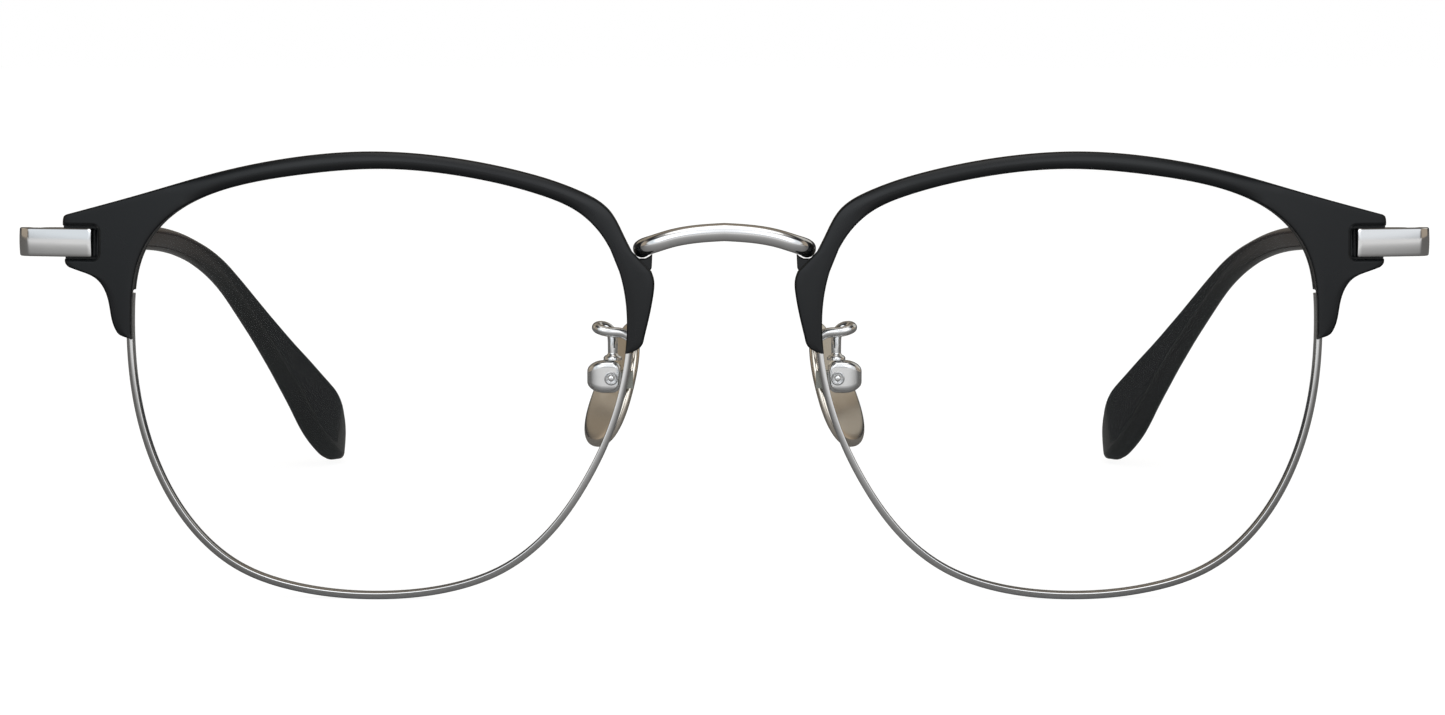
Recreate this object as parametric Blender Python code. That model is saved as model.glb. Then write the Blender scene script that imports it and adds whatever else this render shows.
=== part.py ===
"""Browline metal eyeglasses: two brow plates over full wire rims, on folding temples.

Lengths below are millimetres and are turned into metres when a mesh is made.
+X is the wearer's left, +Y runs back along the temples and +Z is up.
Every shape is described once, for the left (+X) side, and mirrored for the right.
"""
import math

import bmesh
import bpy
import numpy as np
from mathutils import Vector

MM = 0.001

# ---------------------------------------------------------------- driving dimensions
HALF_DEPTH = 71.47           # from y = 0 of the shapes below to the middle of the object
FACE_RADIUS = 500.0          # wrap of the whole front round the face
LENS_RADIUS = 200.0          # front curve of each lens
LENS_CENTRE = (34.5, 22.0)   # boxed centre of a lens, x and z

RIM_FRONT = 1.25             # the rim lies this far behind the brow's front
RIM_DEPTH = 2.0
RIM_WALL = 0.7
RIM_BEVEL = 0.15
GROOVE_DEPTH = 0.42
GROOVE_HALF = 0.45
RIM_SPLIT_Z = 31.0
RIM_SPLIT_GAP = 0.2

BROW_THICK = 1.2
BROW_BEVEL = 0.18
SOLDER_GAP = 0.05                    # left between soldered pieces
WEB_THICK = 1.7
POCKET_DEPTH = 0.9
POCKET = (63.6, 34.4, 37.8)         # inner end, bottom and top of the endpiece's pocket
POCKET_CORNER = 0.6

LENS_THICK = 1.4
LENS_GAP = 0.06
LENS_SHOULDER = 0.35                 # half width of the bevel at the lens edge

BLOCK_X = (60.95, 62.45)             # closing block
BLOCK_Y = (7.35, 9.55)
BLOCK_HALF = 1.9
BLOCK_SCREW = (0.4, 0.7, 0.4)        # shank radius, head radius, head height
BLOCK_HOLE = 0.46

BAR_HEIGHT = 2.9
BAR_THICK = 1.25
BAR_Z = 36.1
BAR_PROUD = 0.48
BAR_START_X = 64.1
BAR_OUTER_X = 72.1
BAR_BEND = 1.25
BAR_BEND_START_X = 69.4
BAR_CORNER = 0.2

HINGE_Y = 16.5
HINGE_Z = 35.7
KNUCKLE_RADIUS = 1.15
PIVOT_INSET = 1.3                    # pivot to the bar's inner face
HINGE_HALF = 1.2
TEMPLE_KNUCKLE_HALF = 0.4
TEMPLE_LEAF_HALF = 0.9
WASHER = (0.45, 1.1, 0.14)           # inner radius, outer radius, thickness
PIN_RADIUS = 0.38
PIN_HOLE = 0.42
SCREW_HEAD = (0.85, 0.3)             # radius, height
SWING_GAP = 0.03
LEAF_THICK = 0.6
LEAF_REACH = 4.4
PARTING_GAP = 0.05                   # from the pivot to each bar's end face

BRIDGE_RADIUS = 0.93
ARM_WIRE = 0.51
ARM_COLLAR = ((0.62, 24.7), (0.95, 24.45), (0.95, 24.19))    # radius, height
PIN_POINT = (11.5, 6.75, 22.35)      # nose pad's pivot
BOX_X = (10.5, 13.95)
BOX_Z = (20.85, 24.15)
BOX_Y = (5.65, 7.85)
BOX_CORNER = 1.15
BOX_BEVEL = 0.35
BOX_SLOT = (0.45, 12.75, 1.35)       # half width, closed end, half height
PAD_SCREW = (0.34, 0.6, 0.28)        # shank radius, head radius, head height
PAD_SCREW_HOLE = 0.39
PAD_FRONT = (3.9, 0.13)              # half width, and how much narrower at its top
PAD_REAR = (2.8, 0.55)
PAD_HEIGHT = 13.2
PAD_THICK = 1.1
PAD_CENTRE = (11.5, 11.3, 21.25)
PAD_SPLAY = math.radians(31.0)
PAD_LEAN = math.radians(18.0)
LUG = (0.35, 0.75, 0.4)              # half thickness, reach past the pin, hole radius
LUG_HEIGHTS = (-1.05, 0.65)          # from the pin down and up
LUG_FOOT = (0.4, 9.8)                # thickness, and how far back it lies on the pad
LUG_INNER_X = 9.3
LUG_GAP = 0.04

SLEEVE_START = 0.43                  # fraction of the temple's length covered by bare metal
CORE_END = 0.90                      # the core wire stops here inside the tip
CORE_SIZE = (1.0, 1.5)
CORE_GAP = 0.06
ARM_START_HEIGHT = 2.75
ARM_END_SIZE = (1.15, 2.3)           # the bar where it enters the sleeve
THINNING = (0.05, 0.41)              # share of the temple over which the bar thins
TIP_CORNER = 0.85

# ---------------------------------------------------------------- outlines, x and z
LENS_OUTLINE = [
    (60.15, 28.5), (59.75, 21.5), (57.7, 13.7), (53.6, 6.95), (49.5, 3.55), (43.3, 1.4),
    (35.0, 0.71), (27.0, 1.75), (22.8, 3.35), (18.6, 6.5), (14.6, 11.8), (11.4, 18.7),
    (9.95, 25.5), (9.95, 30.5), (10.6, 33.5), (12.5, 37.3), (14.5, 39.25), (18.5, 41.1),
    (26.5, 43.0), (34.5, 43.7), (42.6, 43.1), (50.8, 41.45), (55.0, 39.6), (57.6, 37.4),
    (59.3, 34.5)]

# Runs of ribs across the brow; a run is smooth and the outline turns sharply between runs.
# Each rib is a point of the outer edge and the point where it meets the lens opening.
BROW_RUNS = [
    [((9.7, 25.2), (9.97, 25.2)), ((9.15, 25.5), (9.94, 25.7))],
    [((8.4, 25.75), (9.92, 26.2)), ((8.12, 26.5), (9.9, 26.8))],
    [((8.05, 26.8), (9.9, 27.1)), ((7.5, 29.1), (9.9, 29.1)), ((7.15, 31.0), (9.97, 30.9)),
     ((7.08, 32.5), (10.3, 32.4)), ((7.35, 33.4), (10.6, 33.5))],
    [((9.3, 35.4), (11.5, 35.6)), ((10.15, 37.1), (12.3, 37.05)), ((11.5, 39.5), (13.6, 38.5)),
     ((14.5, 41.5), (15.9, 40.05)), ((20.5, 43.5), (21.2, 41.85)), ((28.5, 45.0), (28.7, 43.3)),
     ((35.0, 45.45), (34.8, 43.7)), ((43.0, 44.9), (42.6, 43.1)), ((52.0, 43.1), (50.9, 41.4)),
     ((59.0, 41.1), (55.6, 39.25)), ((67.05, 38.85), (58.2, 36.6))],
    [((67.35, 38.4), (58.6, 36.0)), ((67.15, 34.35), (59.45, 34.0))],
    [((66.8, 33.55), (59.65, 33.3)), ((65.6, 33.2), (59.8, 32.6)), ((63.9, 32.5), (59.93, 31.8)),
     ((62.75, 30.9), (60.05, 30.6)), ((62.25, 28.6), (60.13, 28.6)), ((61.7, 27.3), (60.14, 27.4)),
     ((60.95, 26.75), (60.12, 26.7))],
    [((60.3, 26.45), (60.1, 26.4)), ((60.15, 26.35), (60.1, 26.35))]]

BRIDGE_PATH = [
    (0.0, 2.3, 37.4), (3.0, 2.32, 37.18), (5.6, 2.4, 36.68), (7.1, 2.6, 36.2), (8.0, 3.2, 35.88),
    (8.3, 4.3, 35.65), (8.35, 5.4, 35.6)]
WEB_OUTLINE = [
    (7.28, 35.1), (7.35, 33.6), (7.9, 33.1), (9.4, 32.7), (9.7, 33.5), (10.5, 35.3), (9.9, 35.5),
    (9.3, 35.0), (8.6, 34.62), (8.0, 34.62), (7.6, 34.82)]

PAD_ARM_PATH = [
    (9.5, 5.5, 26.5), (10.2, 5.55, 26.95), (11.2, 5.5, 27.1), (12.1, 5.5, 27.2), (12.75, 5.75, 27.4),
    (12.95, 6.25, 27.55), (12.6, 6.8, 27.65), (12.0, 6.95, 27.5), (11.55, 6.88, 27.1),
    (11.38, 6.8, 26.4), (11.35, 6.75, 25.6), (11.35, 6.75, 24.85)]

TEMPLE_PATH = [
    (BAR_OUTER_X - 0.62, HINGE_Y + PARTING_GAP, HINGE_Z), (71.5, 21.5, 35.6), (71.2, 32.0, 35.2),
    (70.3, 55.0, 34.2), (68.8, 84.0, 32.8), (67.2, 97.0, 31.2), (65.3, 105.5, 28.9),
    (63.6, 111.9, 26.0), (61.9, 117.0, 22.4), (59.9, 122.0, 18.2), (57.85, 126.9, 13.9),
    (55.55, 131.5, 9.7), (53.5, 135.9, 5.4), (51.95, 139.75, 1.45)]
# share of the temple's length, height across the tip, thickness, shift towards the front edge
TIP_SECTIONS = [
    (0.43, 2.9, 2.2, 0.0), (0.62, 2.8, 2.1, 0.0), (0.72, 3.3, 2.2, 0.0), (0.80, 4.6, 2.5, -0.35),
    (0.85, 5.95, 2.7, -0.6), (0.89, 7.7, 2.9, -0.35), (0.92, 9.5, 3.0, 0.1),
    (0.945, 10.2, 3.1, -0.25), (0.965, 10.15, 3.05, -0.85), (0.982, 8.5, 2.85, -0.55),
    (0.993, 5.0, 2.3, -0.2), (1.0, 2.0, 1.2, 0.5)]


# ---------------------------------------------------------------- shape helpers
def wrap(x, z):
    """How far the front's surface lies back at x and z."""
    off_x, off_z = abs(x) - LENS_CENTRE[0], z - LENS_CENTRE[1]
    return x * x / (2 * FACE_RADIUS) + (off_x * off_x + off_z * off_z) / (2 * LENS_RADIUS)


def cubic_through(points, count, closed=False):
    """Evenly spaced points on a smooth cubic through every given point."""
    knots = np.array(points, float)
    if closed:
        knots = np.vstack([knots, knots[:1]])
    step = np.linalg.norm(np.diff(knots, axis=0), axis=1)
    last = len(knots) - 1
    bend = np.zeros((last + 1, last + 1))
    pull = np.zeros_like(knots)
    for i in range(1, last):
        bend[i, i - 1:i + 2] = step[i - 1], 2 * (step[i - 1] + step[i]), step[i]
        pull[i] = 6 * ((knots[i + 1] - knots[i]) / step[i] - (knots[i] - knots[i - 1]) / step[i - 1])
    bend[0, 0] = bend[last, last] = 1
    if closed:
        bend[0, 0], bend[0, 1], bend[0, last - 1] = 2 * (step[-1] + step[0]), step[0], step[-1]
        pull[0] = 6 * ((knots[1] - knots[0]) / step[0] - (knots[0] - knots[last - 1]) / step[-1])
        bend[last, 0] = -1
    second = np.linalg.solve(bend, pull)
    fine = []
    for i in range(last):
        for t in np.linspace(0, 1, 60, endpoint=False):
            ends = (1 - t) * knots[i] + t * knots[i + 1]
            curl = ((1 - t) ** 3 - (1 - t)) * second[i] + (t ** 3 - t) * second[i + 1]
            fine.append(ends + curl * step[i] ** 2 / 6)
    fine.append(knots[last])
    return resample(np.array(fine), count, closed)


def resample(line, count, closed=False):
    """The same line at even spacing; a closed line doesn't repeat its first point."""
    along = np.concatenate([[0], np.cumsum(np.linalg.norm(np.diff(line, axis=0), axis=1))])
    want = np.linspace(0, along[-1], count, endpoint=not closed)
    return np.column_stack([np.interp(want, along, line[:, k]) for k in range(line.shape[1])])


def rounded_rect(width, height, radius, steps=2):
    """Corner points of a rounded rectangle, counter-clockwise from its right side."""
    points = []
    for corner in range(4):
        cx = (width / 2 - radius) * (1 if corner in (0, 3) else -1)
        cy = (height / 2 - radius) * (1 if corner in (0, 1) else -1)
        for k in range(steps + 1):
            turn = math.pi / 2 * (corner + k / steps)
            points.append((cx + radius * math.cos(turn), cy + radius * math.sin(turn)))
    return points


def circle(radius, count=12, centre=(0.0, 0.0)):
    turns = [2 * math.pi * k / count for k in range(count)]
    return [(centre[0] + radius * math.cos(t), centre[1] + radius * math.sin(t)) for t in turns]


def material(name, colour, roughness, metallic):
    mat = bpy.data.materials.get(name) or bpy.data.materials.new(name)
    mat.use_nodes = True
    shader = mat.node_tree.nodes["Principled BSDF"]
    shader.inputs["Base Color"].default_value = (*colour, 1.0)
    shader.inputs["Roughness"].default_value = roughness
    shader.inputs["Metallic"].default_value = metallic
    return mat


def add_object(name, points, faces, mat, side=1, origin=(0.0, 0.0, 0.0), sharp=35.0):
    """Make a mesh object; side -1 is the mirror image, and origin is its pivot in mm."""
    place = Vector((origin[0] * side, origin[1] - HALF_DEPTH, origin[2])) * MM
    mesh = bpy.data.meshes.new(name)
    verts = [Vector((p[0] * side, p[1] - HALF_DEPTH, p[2])) * MM - place for p in points]
    mesh.from_pydata(verts, [], [list(face) for face in faces])
    work = bmesh.new()
    work.from_mesh(mesh)
    bmesh.ops.recalc_face_normals(work, faces=work.faces)
    work.to_mesh(mesh)
    work.free()
    mesh.materials.append(mat)
    mesh.shade_smooth()
    mesh.set_sharp_from_angle(angle=math.radians(sharp))
    obj = bpy.data.objects.new(name, mesh)
    obj.location = place
    bpy.context.collection.objects.link(obj)
    return obj


def loft(rings, closed=False, domed=False):
    """Points and faces of a skin over equal rings; domed ends are fans, the others flat."""
    size = len(rings[0])
    points = [tuple(p) for ring in rings for p in ring]
    faces = []
    spans = len(rings) if closed else len(rings) - 1
    for i in range(spans):
        a, b = i * size, (i + 1) % len(rings) * size
        faces += [(a + k, a + (k + 1) % size, b + (k + 1) % size, b + k) for k in range(size)]
    if closed:
        return points, faces
    for start, ring in ((0, rings[0]), ((len(rings) - 1) * size, rings[-1])):
        if domed:
            points.append(tuple(np.mean(np.array(ring), axis=0)))
            faces += [(start + k, start + (k + 1) % size, len(points) - 1) for k in range(size)]
        else:
            faces.append(tuple(range(start, start + size)))
    return points, faces


def sweep_rings(path, section, across):
    """A section of (sideways, upwards) points at every point of a path, kept from twisting."""
    path = np.array(path, float)
    ahead = np.gradient(path, axis=0)
    rings = []
    side = np.array(across, float)
    for i, here in enumerate(path):
        run = ahead[i] / np.linalg.norm(ahead[i])
        side = side - run * side.dot(run)
        side = side / np.linalg.norm(side)
        up = np.cross(side, run)
        rings.append([here + side * u + up * v for u, v in section])
    return rings


def prism(outline, low, high, place):
    """A flat outline carried from low to high; place turns (u, v, height) into a point."""
    return loft([[place(u, v, low) for u, v in outline], [place(u, v, high) for u, v in outline]])


def along_z(u, v, height):
    return (u, v, height)


def along_y(u, v, height):
    return (u, height, v)


def cut(target, name, points, faces, side, origin=(0.0, 0.0, 0.0)):
    """Subtract a hidden cutter from an object."""
    tool = add_object(name, points, faces, target.data.materials[0], side, origin)
    tool.hide_render = True
    tool.display_type = "WIRE"
    boolean = target.modifiers.new("cut_" + name, "BOOLEAN")
    boolean.operation = "DIFFERENCE"
    boolean.solver = "EXACT"
    boolean.object = tool


def word(side):
    return "left" if side > 0 else "right"


# ---------------------------------------------------------------- materials
def make_materials():
    return {
        "black": material("black_lacquer", (0.018, 0.02, 0.022), 0.42, 0.3),
        "steel": material("polished_steel", (0.72, 0.72, 0.73), 0.12, 1.0),
        "pad": material("polished_pad", (0.70, 0.66, 0.60), 0.1, 1.0),
        "acetate": material("dark_acetate", (0.012, 0.007, 0.005), 0.1, 0.0),
        "lens": material("clear_lens", (0.95, 0.97, 0.97), 0.02, 0.0),
        "washer": material("washer_nylon", (0.6, 0.6, 0.58), 0.5, 0.0)}


# ---------------------------------------------------------------- front
def lens_line(count):
    """The lens opening as closed x, z points, with outward directions."""
    line = cubic_through(LENS_OUTLINE, count, closed=True)
    run = np.roll(line, -1, axis=0) - np.roll(line, 1, axis=0)
    run /= np.linalg.norm(run, axis=1)[:, None]
    out = np.column_stack([run[:, 1], -run[:, 0]])
    middle = np.array(LENS_CENTRE)
    if np.mean(np.sum(out * (line - middle), axis=1)) < 0:
        out = -out
    return line, out


def split_line(count):
    """The lens opening as an open line that starts above the split and ends below it."""
    line, out = lens_line(1600)
    temporal = line[:, 0] > LENS_CENTRE[0]
    start = int(np.argmin(np.where(temporal, abs(line[:, 1] - RIM_SPLIT_Z), 1e9)))
    line, out = np.roll(line, -start, axis=0), np.roll(out, -start, axis=0)
    keep = np.hypot(*(line - line[0]).T) > RIM_SPLIT_GAP / 2
    line, out = line[keep], out[keep]
    pick = np.linspace(0, len(line) - 1, count).round().astype(int)
    return line[pick], out[pick]


def make_rim(side, mats):
    """A wire with a V groove inside, split at the closing block."""
    mid = RIM_DEPTH / 2
    profile = [
        (0.0, 0.0), (0.0, mid - GROOVE_HALF), (GROOVE_DEPTH, mid), (0.0, mid + GROOVE_HALF),
        (0.0, RIM_DEPTH), (RIM_WALL - RIM_BEVEL, RIM_DEPTH), (RIM_WALL, RIM_DEPTH - RIM_BEVEL),
        (RIM_WALL, RIM_BEVEL), (RIM_WALL - RIM_BEVEL, 0.0)]
    line, out = split_line(66)
    rings = []
    for base, away in zip(line, out):
        ring = []
        for reach, depth in profile:
            x, z = base + away * reach
            ring.append((x, wrap(x, z) + RIM_FRONT + depth, z))
        rings.append(ring)
    return add_object("rim_" + word(side), *loft(rings), mats["steel"], side)


def make_lens(side, mats):
    """A curved lens whose edge bevel lies in the rim's groove."""
    line, out = lens_line(44)
    mid = RIM_FRONT + RIM_DEPTH / 2
    half = LENS_THICK / 2
    bevel = GROOVE_DEPTH - LENS_GAP
    rows = [(0.1, -half), (0.55, -half), (1.0, -half)]
    rings = []
    middle = np.array(LENS_CENTRE)
    edge = line - out * LENS_GAP
    for share, depth in rows:
        flat = middle + (edge - middle) * share
        rings.append([(x, wrap(x, z) + mid + depth, z) for x, z in flat])
    for reach, depth in ((0.0, -LENS_SHOULDER), (bevel, 0.0), (0.0, LENS_SHOULDER)):
        flat = edge + out * reach
        rings.append([(x, wrap(x, z) + mid + depth, z) for x, z in flat])
    for share, depth in reversed(rows):
        flat = middle + (edge - middle) * share
        rings.append([(x, wrap(x, z) + mid - depth, z) for x, z in flat])
    return add_object("lens_" + word(side), *loft(rings, domed=True), mats["lens"], side)


def brow_ribs(per_run):
    """Outer and inner ends of the brow's ribs; per_run says how many each run gets."""
    fine, _ = lens_line(1600)
    outer, inner = [], []
    for run, count in zip(BROW_RUNS, per_run):
        ribs = np.array([out_point + in_point for out_point, in_point in run])
        for rib in cubic_through(ribs, count):
            outer.append(rib[:2])
            inner.append(fine[np.argmin(np.sum((fine - rib[2:]) ** 2, axis=1))])
    return outer, inner


def make_brow(side, mats):
    """A curved plate over the rim's upper half, with a pocket for the endpiece."""
    outer, inner = brow_ribs((2, 2, 6, 30, 2, 10, 2))
    rings = []
    for out_point, in_point in zip(outer, inner):
        width = np.linalg.norm(out_point - in_point)
        lip = min(BROW_BEVEL, width / 4) / width
        rows = [(0.0, BROW_BEVEL), (lip, 0.0), (1 - lip, 0.0), (1.0, BROW_BEVEL),
                (1.0, BROW_THICK), (0.0, BROW_THICK)]
        ring = []
        for share, depth in rows:
            x, z = in_point + (out_point - in_point) * share
            ring.append((x, wrap(x, z) + depth, z))
        rings.append(ring)
    brow = add_object("brow_" + word(side), *loft(rings), mats["black"], side, sharp=25.0)
    left, low, high = POCKET
    width, height = 8.0, high - low
    outline = [(left + width / 2 + u, (low + high) / 2 + v)
               for u, v in rounded_rect(width, height, POCKET_CORNER)]
    rings = [[(x, wrap(x, z) + depth, z) for x, z in outline] for depth in (-3.0, POCKET_DEPTH)]
    cut(brow, "pocket_cutter_" + word(side), *loft(rings), side)
    return brow


def make_bridge(mats):
    half = cubic_through(BRIDGE_PATH, 12)
    path = np.vstack([half[:0:-1] * np.array([-1, 1, 1]), half])
    rings = sweep_rings(path, circle(BRIDGE_RADIUS, 10), across=(0, 1, 0))
    return add_object("bridge", *loft(rings), mats["steel"], sharp=50.0)


def make_bridge_mount(side, mats):
    """A black web between the rim and the bridge's turned-back end."""
    def place(x, z, depth):
        return (x, wrap(x, z) + depth, z)
    front = BROW_THICK + SOLDER_GAP
    points, faces = prism(WEB_OUTLINE, front, front + WEB_THICK, place)
    return add_object("bridge_mount_" + word(side), points, faces, mats["black"], side)


def bar_path():
    """The endpiece's centre line: outwards in the brow's pocket, then back to the hinge."""
    sink = BAR_THICK / 2 - BAR_PROUD
    straight = [(x, wrap(x, BAR_Z) + sink) for x in np.linspace(BAR_START_X, BAR_BEND_START_X, 5)]
    end_x = BAR_OUTER_X - BAR_THICK / 2
    slope = math.atan2(straight[-1][1] - straight[-2][1], straight[-1][0] - straight[-2][0])
    sweep = math.pi / 2 - slope
    centre_x = end_x - BAR_BEND
    start_x = centre_x + BAR_BEND * math.sin(slope)
    start_y = wrap(start_x, BAR_Z) + sink
    centre_y = start_y + BAR_BEND * math.cos(slope)
    points = list(straight)
    for k in range(9):
        turn = slope - math.pi / 2 + sweep * k / 8
        points.append((centre_x + BAR_BEND * math.cos(turn), centre_y + BAR_BEND * math.sin(turn)))
    points += [(end_x, y) for y in np.linspace(centre_y + 1.2, HINGE_Y - PARTING_GAP, 4)]
    fall = (BAR_Z - HINGE_Z) / (HINGE_Y - centre_y)
    return [(x, y, BAR_Z - fall * max(y - centre_y, 0.0)) for x, y in points]


def make_endpiece(side, mats):
    section = rounded_rect(BAR_THICK, BAR_HEIGHT, BAR_CORNER, 1)
    rings = sweep_rings(bar_path(), section, across=(0, -1, 0))
    return add_object("endpiece_" + word(side), *loft(rings), mats["steel"], side)


# ---------------------------------------------------------------- closing blocks
def make_closing_block(side, mats):
    """Two blocks on the rim's ends, drawn together by a screw."""
    gap = RIM_SPLIT_GAP / 2
    mid_x, mid_y = sum(BLOCK_X) / 2, sum(BLOCK_Y) / 2
    width, depth = BLOCK_X[1] - BLOCK_X[0], BLOCK_Y[1] - BLOCK_Y[0]
    outline = [(mid_x + u, mid_y + v) for u, v in rounded_rect(width, depth, RIM_BEVEL)]
    for which, low, high in (("upper", gap, BLOCK_HALF), ("lower", -BLOCK_HALF, -gap)):
        name = f"closing_block_{which}_{word(side)}"
        points, faces = prism(outline, RIM_SPLIT_Z + low, RIM_SPLIT_Z + high, along_z)
        block = add_object(name, points, faces, mats["black"], side)
        hole = circle(BLOCK_HOLE, 12, (mid_x, mid_y))
        points, faces = prism(hole, RIM_SPLIT_Z - 3, RIM_SPLIT_Z + 3, along_z)
        cut(block, f"{which}_block_cutter_{word(side)}", points, faces, side)
    shank, head, rise = BLOCK_SCREW
    seat = -BLOCK_HALF - SOLDER_GAP
    levels = [(head, seat - rise), (head, seat), (shank, seat), (shank, BLOCK_HALF)]
    rings = [[(x, y, RIM_SPLIT_Z + z) for x, y in circle(r, 12, (mid_x, mid_y))] for r, z in levels]
    add_object("closing_screw_" + word(side), *loft(rings), mats["steel"], side)


# ---------------------------------------------------------------- hinges
def pivot():
    return (BAR_OUTER_X - BAR_THICK - PIVOT_INSET, HINGE_Y, HINGE_Z)


def hinge_outline(direction):
    """A knuckle's circle drawn out into a leaf along the bar; direction is -1 forwards."""
    leaf_out = PIVOT_INSET - SOLDER_GAP
    leaf_in = leaf_out - LEAF_THICK
    start = math.acos(leaf_in / KNUCKLE_RADIUS)
    turns = np.linspace(start, 2 * math.pi, 12)
    outline = [(KNUCKLE_RADIUS * math.cos(t), KNUCKLE_RADIUS * math.sin(t)) for t in turns]
    outline += [(leaf_out, PARTING_GAP), (leaf_out, LEAF_REACH), (leaf_in, LEAF_REACH)]
    return [(u, v * direction) for u, v in outline]


def ring_cutter(low, high, radius):
    px, py, pz = pivot()
    return prism(circle(radius, 20, (px, py)), pz + low, pz + high, along_z)


def make_hinge(side, mats):
    """Three knuckles on an upright screw: two on the front, one on the temple."""
    px, py, pz = pivot()
    name = word(side)
    front = [(px + u, py + v) for u, v in hinge_outline(-1)]
    leaf = add_object("front_hinge_" + name, *prism(front, pz - HINGE_HALF, pz + HINGE_HALF, along_z),
                      mats["steel"], side)
    clear = TEMPLE_KNUCKLE_HALF + WASHER[2] + 2 * SWING_GAP
    cut(leaf, "front_gap_cutter_" + name, *ring_cutter(-clear, clear, KNUCKLE_RADIUS + 0.1), side)
    cut(leaf, "front_hole_cutter_" + name, *ring_cutter(-3, 3, PIN_HOLE), side)
    back = [(px + u, py + v) for u, v in hinge_outline(1)]
    points, faces = prism(back, pz - TEMPLE_LEAF_HALF, pz + TEMPLE_LEAF_HALF, along_z)
    swing = add_object("temple_hinge_" + name, points, faces, mats["steel"], side, pivot())
    for which, low, high in (("top", TEMPLE_KNUCKLE_HALF, 2), ("base", -2, -TEMPLE_KNUCKLE_HALF)):
        cut(swing, f"temple_{which}_cutter_{name}", *ring_cutter(low, high, KNUCKLE_RADIUS + 0.1), side)
    cut(swing, "temple_hole_cutter_" + name, *ring_cutter(-3, 3, PIN_HOLE), side)
    inner, outer, thick = WASHER
    for which, sign in (("upper", 1), ("lower", -1)):
        low = TEMPLE_KNUCKLE_HALF + SWING_GAP
        levels = [(inner, low), (outer, low), (outer, low + thick), (inner, low + thick)]
        rings = [[(x, y, pz + z * sign) for x, y in circle(r, 16, (px, py))] for r, z in levels]
        points, faces = loft(rings, closed=True)
        add_object(f"hinge_washer_{which}_{name}", points, faces, mats["washer"], side)
    head, rise = SCREW_HEAD
    base = HINGE_HALF + SWING_GAP
    levels = [(PIN_RADIUS, -HINGE_HALF), (PIN_RADIUS, base), (head, base), (head, base + rise * 0.6),
              (head * 0.75, base + rise)]
    rings = [[(x, y, pz + z) for x, y in circle(r, 12, (px, py))] for r, z in levels]
    add_object("hinge_screw_" + name, *loft(rings), mats["steel"], side)


# ---------------------------------------------------------------- temples
def temple_line(count):
    """The temple's centre line from the parting plane to the tip's end."""
    return cubic_through(TEMPLE_PATH, count)


def frames_along(line):
    """Outward and lower-edge directions at each point; the lower edge stays in a Y-Z plane."""
    ahead = np.gradient(line, axis=0)
    ahead /= np.linalg.norm(ahead, axis=1)[:, None]
    lower = np.column_stack([np.zeros(len(line)), ahead[:, 2], -ahead[:, 1]])
    lower /= np.linalg.norm(lower, axis=1)[:, None]
    out = np.cross(lower, ahead)
    return out, lower


def ring_at(centre, out, lower, outline, shift=0.0):
    return [tuple(centre + out * u + lower * (v + shift)) for u, v in outline]


def make_temple_arm(side, mats):
    """A flat metal bar that thins down to the core wire inside the tip."""
    line = temple_line(201)
    out, lower = frames_along(line)
    stops = [0, 4, 10, 20, 34, 48, 62, 74, 82, 85, 86, 90]
    stops += list(range(96, int(200 * CORE_END) + 1, 4))
    rings = []
    for i in stops:
        share = i / 200
        thick, tall = CORE_SIZE
        if share < SLEEVE_START:
            thick = np.interp(share, THINNING, (BAR_THICK, ARM_END_SIZE[0]))
            tall = np.interp(share, THINNING, (ARM_START_HEIGHT, ARM_END_SIZE[1]))
        section = rounded_rect(thick, tall, BAR_CORNER, 1)
        rings.append(ring_at(line[i], out[i], lower[i], section))
    return add_object("temple_arm_" + word(side), *loft(rings), mats["steel"], side, pivot())


def tip_section(share):
    table = np.array(TIP_SECTIONS)
    return [float(np.interp(share, table[:, 0], table[:, k])) for k in (1, 2, 3)]


def make_temple_tip(side, mats):
    """A plastic sleeve round the core wire, flared into a paddle behind the ear."""
    line = temple_line(201)
    out, lower = frames_along(line)
    first = int(200 * SLEEVE_START) + 1
    stops = list(range(first, 184, 5)) + [186, 189, 192, 194, 196, 198, 199, 200]
    outer = []
    for i in stops:
        tall, thick, shift = tip_section(i / 200)
        section = rounded_rect(thick, tall, min(TIP_CORNER, thick * 0.36), 2)
        outer.append(ring_at(line[i], out[i], lower[i], section, shift))
    inner = []
    wide, high = CORE_SIZE[0] + 2 * CORE_GAP, CORE_SIZE[1] + 2 * CORE_GAP
    last = int(200 * CORE_END) + 1
    for i in [first] + list(range(first + 7, last, 7)) + [last]:
        section = rounded_rect(wide, high, BAR_CORNER, 2)
        inner.append(ring_at(line[i], out[i], lower[i], section))
    rings = inner[::-1] + outer
    return add_object("temple_tip_" + word(side), *loft(rings), mats["acetate"], side, pivot())


# ---------------------------------------------------------------- nose pads
def make_pad_arm(side, mats):
    """A hairpin of wire from the rim's back to a collar on the pad box."""
    path = cubic_through(PAD_ARM_PATH, 26)
    rings = sweep_rings(path, circle(ARM_WIRE, 8), across=(0, 0, 1))
    x, y = path[-1][0], path[-1][1]
    for radius, height in ARM_COLLAR:
        ring = np.array(rings[-1])
        flat = ring - ring.mean(axis=0)
        flat[:, 2] = 0
        flat *= radius / np.linalg.norm(flat, axis=1)[:, None]
        rings.append([(x + dx, y + dy, height) for dx, dy, _ in flat])
    return add_object("pad_arm_" + word(side), *loft(rings), mats["steel"], side, sharp=50.0)


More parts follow.
